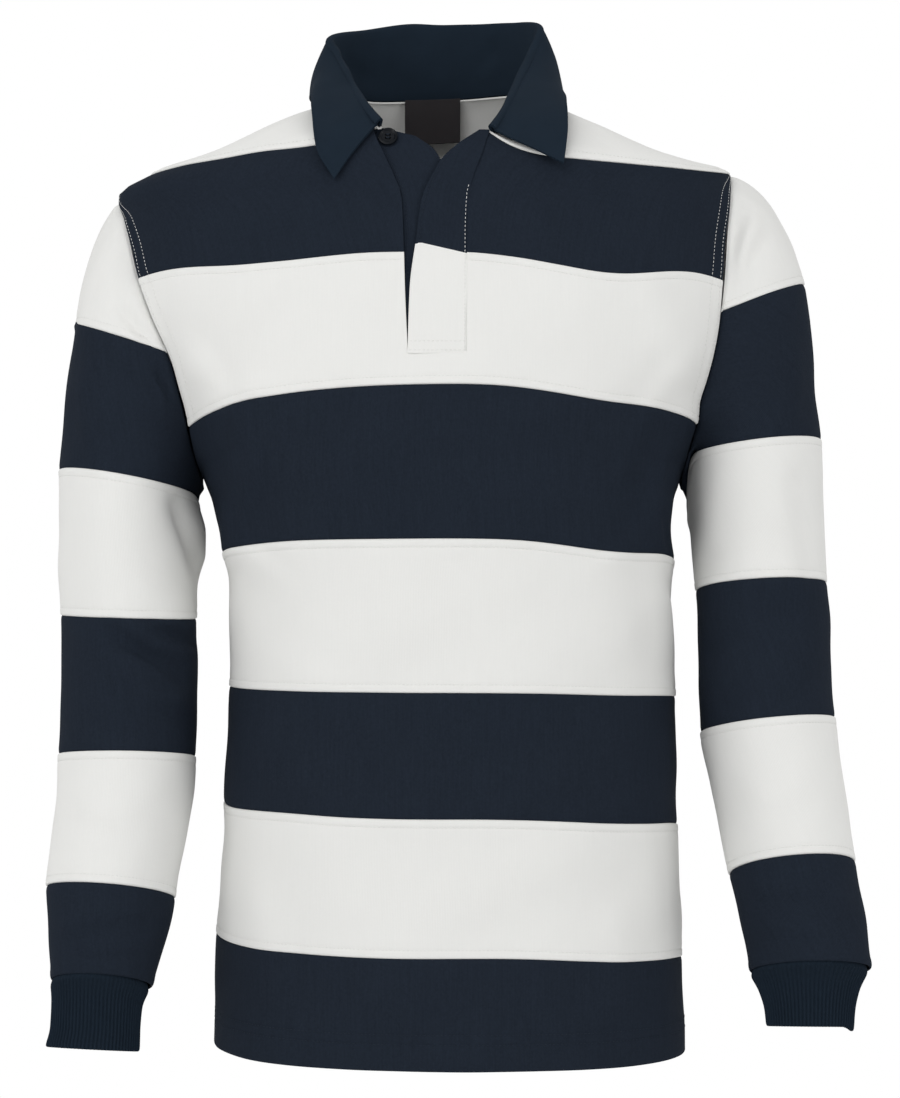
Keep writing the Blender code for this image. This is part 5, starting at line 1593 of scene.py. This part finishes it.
def underlap_lift(x, z, free):
    """The underlap lies equally far below the front's surface all over."""
    return 0 * x - UNDERLAP_DROP


def overlap_rise(z, share):
    """The seam of the overlap runs up to its free edge, where its corner is rounded."""
    near_seam = 1 - np.minimum(np.abs(z - OVERLAP_SEAM) / SEAM_REACH, 1)
    corner = SEAM_CORNER * np.exp(-((share / SEAM_CORNER_WIDTH) ** 2))
    return near_seam * (SEAM_RISE * (1 - share) - corner)


def overlap_lift(x, z, free):
    """The free edge stands away from the button side, most near the top."""
    away = 1 - smooth(0.0, OVERLAP_LIFT_WIDTH, x - free)
    for low, high in OVERLAP_LIFT_HEIGHTS:
        away = away * smooth(low, high, z)
    return OVERLAP_LIFT * away + OVERLAP_REST


def cut_below(line, height):
    """The part of a line that is below a height."""
    points, facing = line
    kept = points[:, 2] < height
    return points[kept], facing[kept]


def make_placket():
    make = {"held": "laid", "wall": PLACKET_PLIES, "bulge": FREE_RIM}
    top = UNDERLAP_EDGE[0].z
    panel = placket_panel("right", UNDERLAP_EDGE, top, PLACKET_END, underlap_lift, underlap_rise)
    cloth("placket_underlap", panel, *BAND_LOOKS["navy"], **make)
    sew("navy", panel.column_at(PLACKET_STITCH), panel.column_at(-PLACKET_STITCH))

    top = OVERLAP_EDGE[0].z
    panel = placket_panel("left", OVERLAP_EDGE, top, OVERLAP_SEAM, overlap_lift, overlap_rise)
    cloth("placket_overlap", panel, *BAND_LOOKS["navy"], **make)
    sew("white_on_navy", cut_below(panel.column_at(-OVERLAP_STITCHES["sewn"]), SEWN_FROM))
    sew("navy", panel.column_at(OVERLAP_STITCHES["free"]))

    panel = placket_panel("left", OVERLAP_EDGE, OVERLAP_SEAM, PLACKET_END, overlap_lift, overlap_rise)
    cloth("placket_overlap", panel, *BAND_LOOKS["white"], name="placket_overlap_foot", **make)
    sew("white_on_white", panel.column_at(-OVERLAP_STITCHES["sewn"]))
    sew("white_on_white", *(panel.row_at(-distance) for distance in FOOT_STITCHES))


def make_label():
    """A bare woven tape, which hangs straight down inside the back of the neck."""
    seam = vector(COLLAR, "seam", np.linspace(*LABEL_ROWS, LABEL_POINTS))
    across, down = (
        spaced(size, LABEL_SPACING, first=LABEL_STEPS, last=LABEL_STEPS)
        for size in (LABEL_WIDTH, LABEL_HEIGHT)
    )
    x, drop = LABEL_LEFT + (LABEL_RIGHT - LABEL_LEFT) * across, LABEL_HEIGHT * down[:, None]
    y, z = (np.interp(x, seam[:, 0], seam[:, axis]) for axis in (1, 2))
    curl = LABEL_CURL * np.sin(np.linspace(0, math.pi, len(x))) * (drop / LABEL_HEIGHT) ** 2
    panel = Panel(np.stack((x + 0 * drop, y - LABEL_SETBACK + curl, z - drop), axis=-1))
    cloth("neck_label", panel, black_tape, "label", wall=LABEL_THICKNESS, bulge=LABEL_RIM)


def make_button():
    """The CAD button keeps its form, and gets its gloss and the thread through its holes."""
    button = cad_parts["button"]
    button.data.materials.clear()
    button.data.materials.append(button_resin)
    x, z = BUTTON_CENTRE
    levels = front_levels(np.array([z]))
    offsets = ((0, 0), (BUTTON_NEAR, 0), (0, BUTTON_NEAR))
    seat, beside, above = (
        levels.points(levels.angle(np.array([[x + dx]])), -PLACKET_PLIES, z + dz)[0, 0] for dx, dz in offsets
    )
    right, up = unit(beside - seat), unit(above - seat)
    out = unit(np.cross(right, up))
    out = out if out[1] < 0 else -out
    reach = BUTTON_HOLE_PITCH / 2
    across = np.linspace(-reach, reach, THREAD_POINTS)[:, None] * right
    arch = THREAD_ARCH * np.cos(np.linspace(-THREAD_BEND, THREAD_BEND, THREAD_POINTS))[:, None] * out
    lines = []
    for dz in (-reach, reach):
        for shift in (-THREAD_SHIFT, THREAD_SHIFT):
            middle = seat + out * BUTTON_WELL + up * (dz + shift)
            lines.append((middle + across + arch, np.tile(out, (THREAD_POINTS, 1))))
    spacing = {"pitch": THREAD_PITCH * reach, "stitch": THREAD_STITCH * reach}
    make_stitches("navy_button_thread", lines, navy_thread, proud=1.0, **spacing)


# ---------------------------------------------------------------- light and camera

CAMERA_X = 0.0076
CAMERA_Y = -2.2
CAMERA_Z = -0.4015
CAMERA_LENS, CAMERA_SENSOR = 95.2, 36  # mm, which fit the photograph's longer side
PHOTO_HEIGHT = 1098
HORIZON_ROW = 625
PIXELS_PER_SLOPE = 2904
FLOOR_Z = -1.35
FLOOR_HALF = 2.2
WHITE_LIGHT = (1, 1, 1, 1)
BACKGROUND = 1.0
SKY = 0.62
SKY_LEANS = (0.0, 0.24, 0.10)  # how much brighter it is along +X, +Y and +Z
Softbox = namedtuple("Softbox", "name place width height power")
SOFTBOXES = (
    Softbox("key_softbox", (-0.7, -2.3, 1.2), 1.6, 1.4, 18),
    Softbox("right_softbox", (-2.2, -2.0, 0.2), 1.6, 1.8, 19),
    Softbox("left_softbox", (2.2, -2.0, 0.2), 1.6, 1.8, 20),
)
LIGHT_AIM = (0, 0, -0.2)


def add_camera():
    data = bpy.data.cameras.new("camera")
    data.lens, data.sensor_width = CAMERA_LENS, CAMERA_SENSOR
    camera = add_object("camera", data)
    camera.location = (CAMERA_X, CAMERA_Y, CAMERA_Z)
    pitch = math.atan((HORIZON_ROW - PHOTO_HEIGHT / 2) / PIXELS_PER_SLOPE)
    camera.rotation_euler = (math.pi / 2 + pitch, 0, 0)
    bpy.context.scene.camera = camera


def add_softbox(box):
    data = bpy.data.lights.new(box.name, "AREA")
    data.shape, data.size, data.size_y, data.energy = "RECTANGLE", box.width, box.height, box.power
    light = add_object(box.name, data)
    light.location = box.place
    light.rotation_euler = (Vector(LIGHT_AIM) - Vector(box.place)).to_track_quat("-Z", "Y").to_euler()


def add_world():
    """White behind the shirt, and a sky that lights it: brighter from behind it and from above."""
    world = bpy.data.worlds.new("studio")
    bpy.context.scene.world = world
    nodes = Nodes(world, "Background")
    way = nodes.add("ShaderNodeSeparateXYZ", Vector=nodes.add("ShaderNodeTexCoord").outputs["Generated"])
    strength = SKY
    for axis, lean in zip(way.outputs, SKY_LEANS):
        strength = nodes.math("MULTIPLY_ADD", axis, lean, strength)
    sky = nodes.shader
    nodes.put(sky.inputs["Color"], WHITE_LIGHT)
    nodes.put(sky.inputs["Strength"], strength)
    behind = nodes.add("ShaderNodeBackground", Color=WHITE_LIGHT, Strength=BACKGROUND)
    mix = nodes.add("ShaderNodeMixShader")
    parts = (nodes.add("ShaderNodeLightPath").outputs["Is Camera Ray"], sky.outputs[0], behind.outputs[0])
    for socket, part in zip(mix.inputs, parts):
        nodes.put(socket, part)
    nodes.put(nodes.tree.nodes["World Output"].inputs["Surface"], mix.outputs[0])


def add_floor():
    data = bpy.data.meshes.new("floor")
    corners = ((-1, -1), (1, -1), (1, 1), (-1, 1))
    data.from_pydata([(x * FLOOR_HALF, y * FLOOR_HALF, FLOOR_Z) for x, y in corners], [], [(0, 1, 2, 3)])
    nodes = Nodes(bpy.data.materials.new("floor"))
    nodes.put(nodes.shader.inputs["Base Color"], FLOOR_GREY)
    nodes.put(nodes.shader.inputs["Roughness"], FLOOR_ROUGHNESS)
    data.materials.append(nodes.material)
    add_object("floor", data)


add_camera()
add_world()
add_floor()
for softbox in SOFTBOXES:
    add_softbox(softbox)
bpy.context.scene.view_settings.view_transform = "Standard"

make_body()
make_yokes()
for shirt_side in SIDES:
    make_sleeve(shirt_side)
    make_cuff(shirt_side)
make_collar()
make_placket()
make_label()
make_button()
make_stitches("stitches_on_navy", sewing["white_on_navy"], white_thread, proud=0.5)
make_stitches("stitches_on_white", sewing["white_on_white"], white_thread, proud=0.3)
make_stitches("navy_stitches", sewing["navy"], navy_thread, proud=0.4)
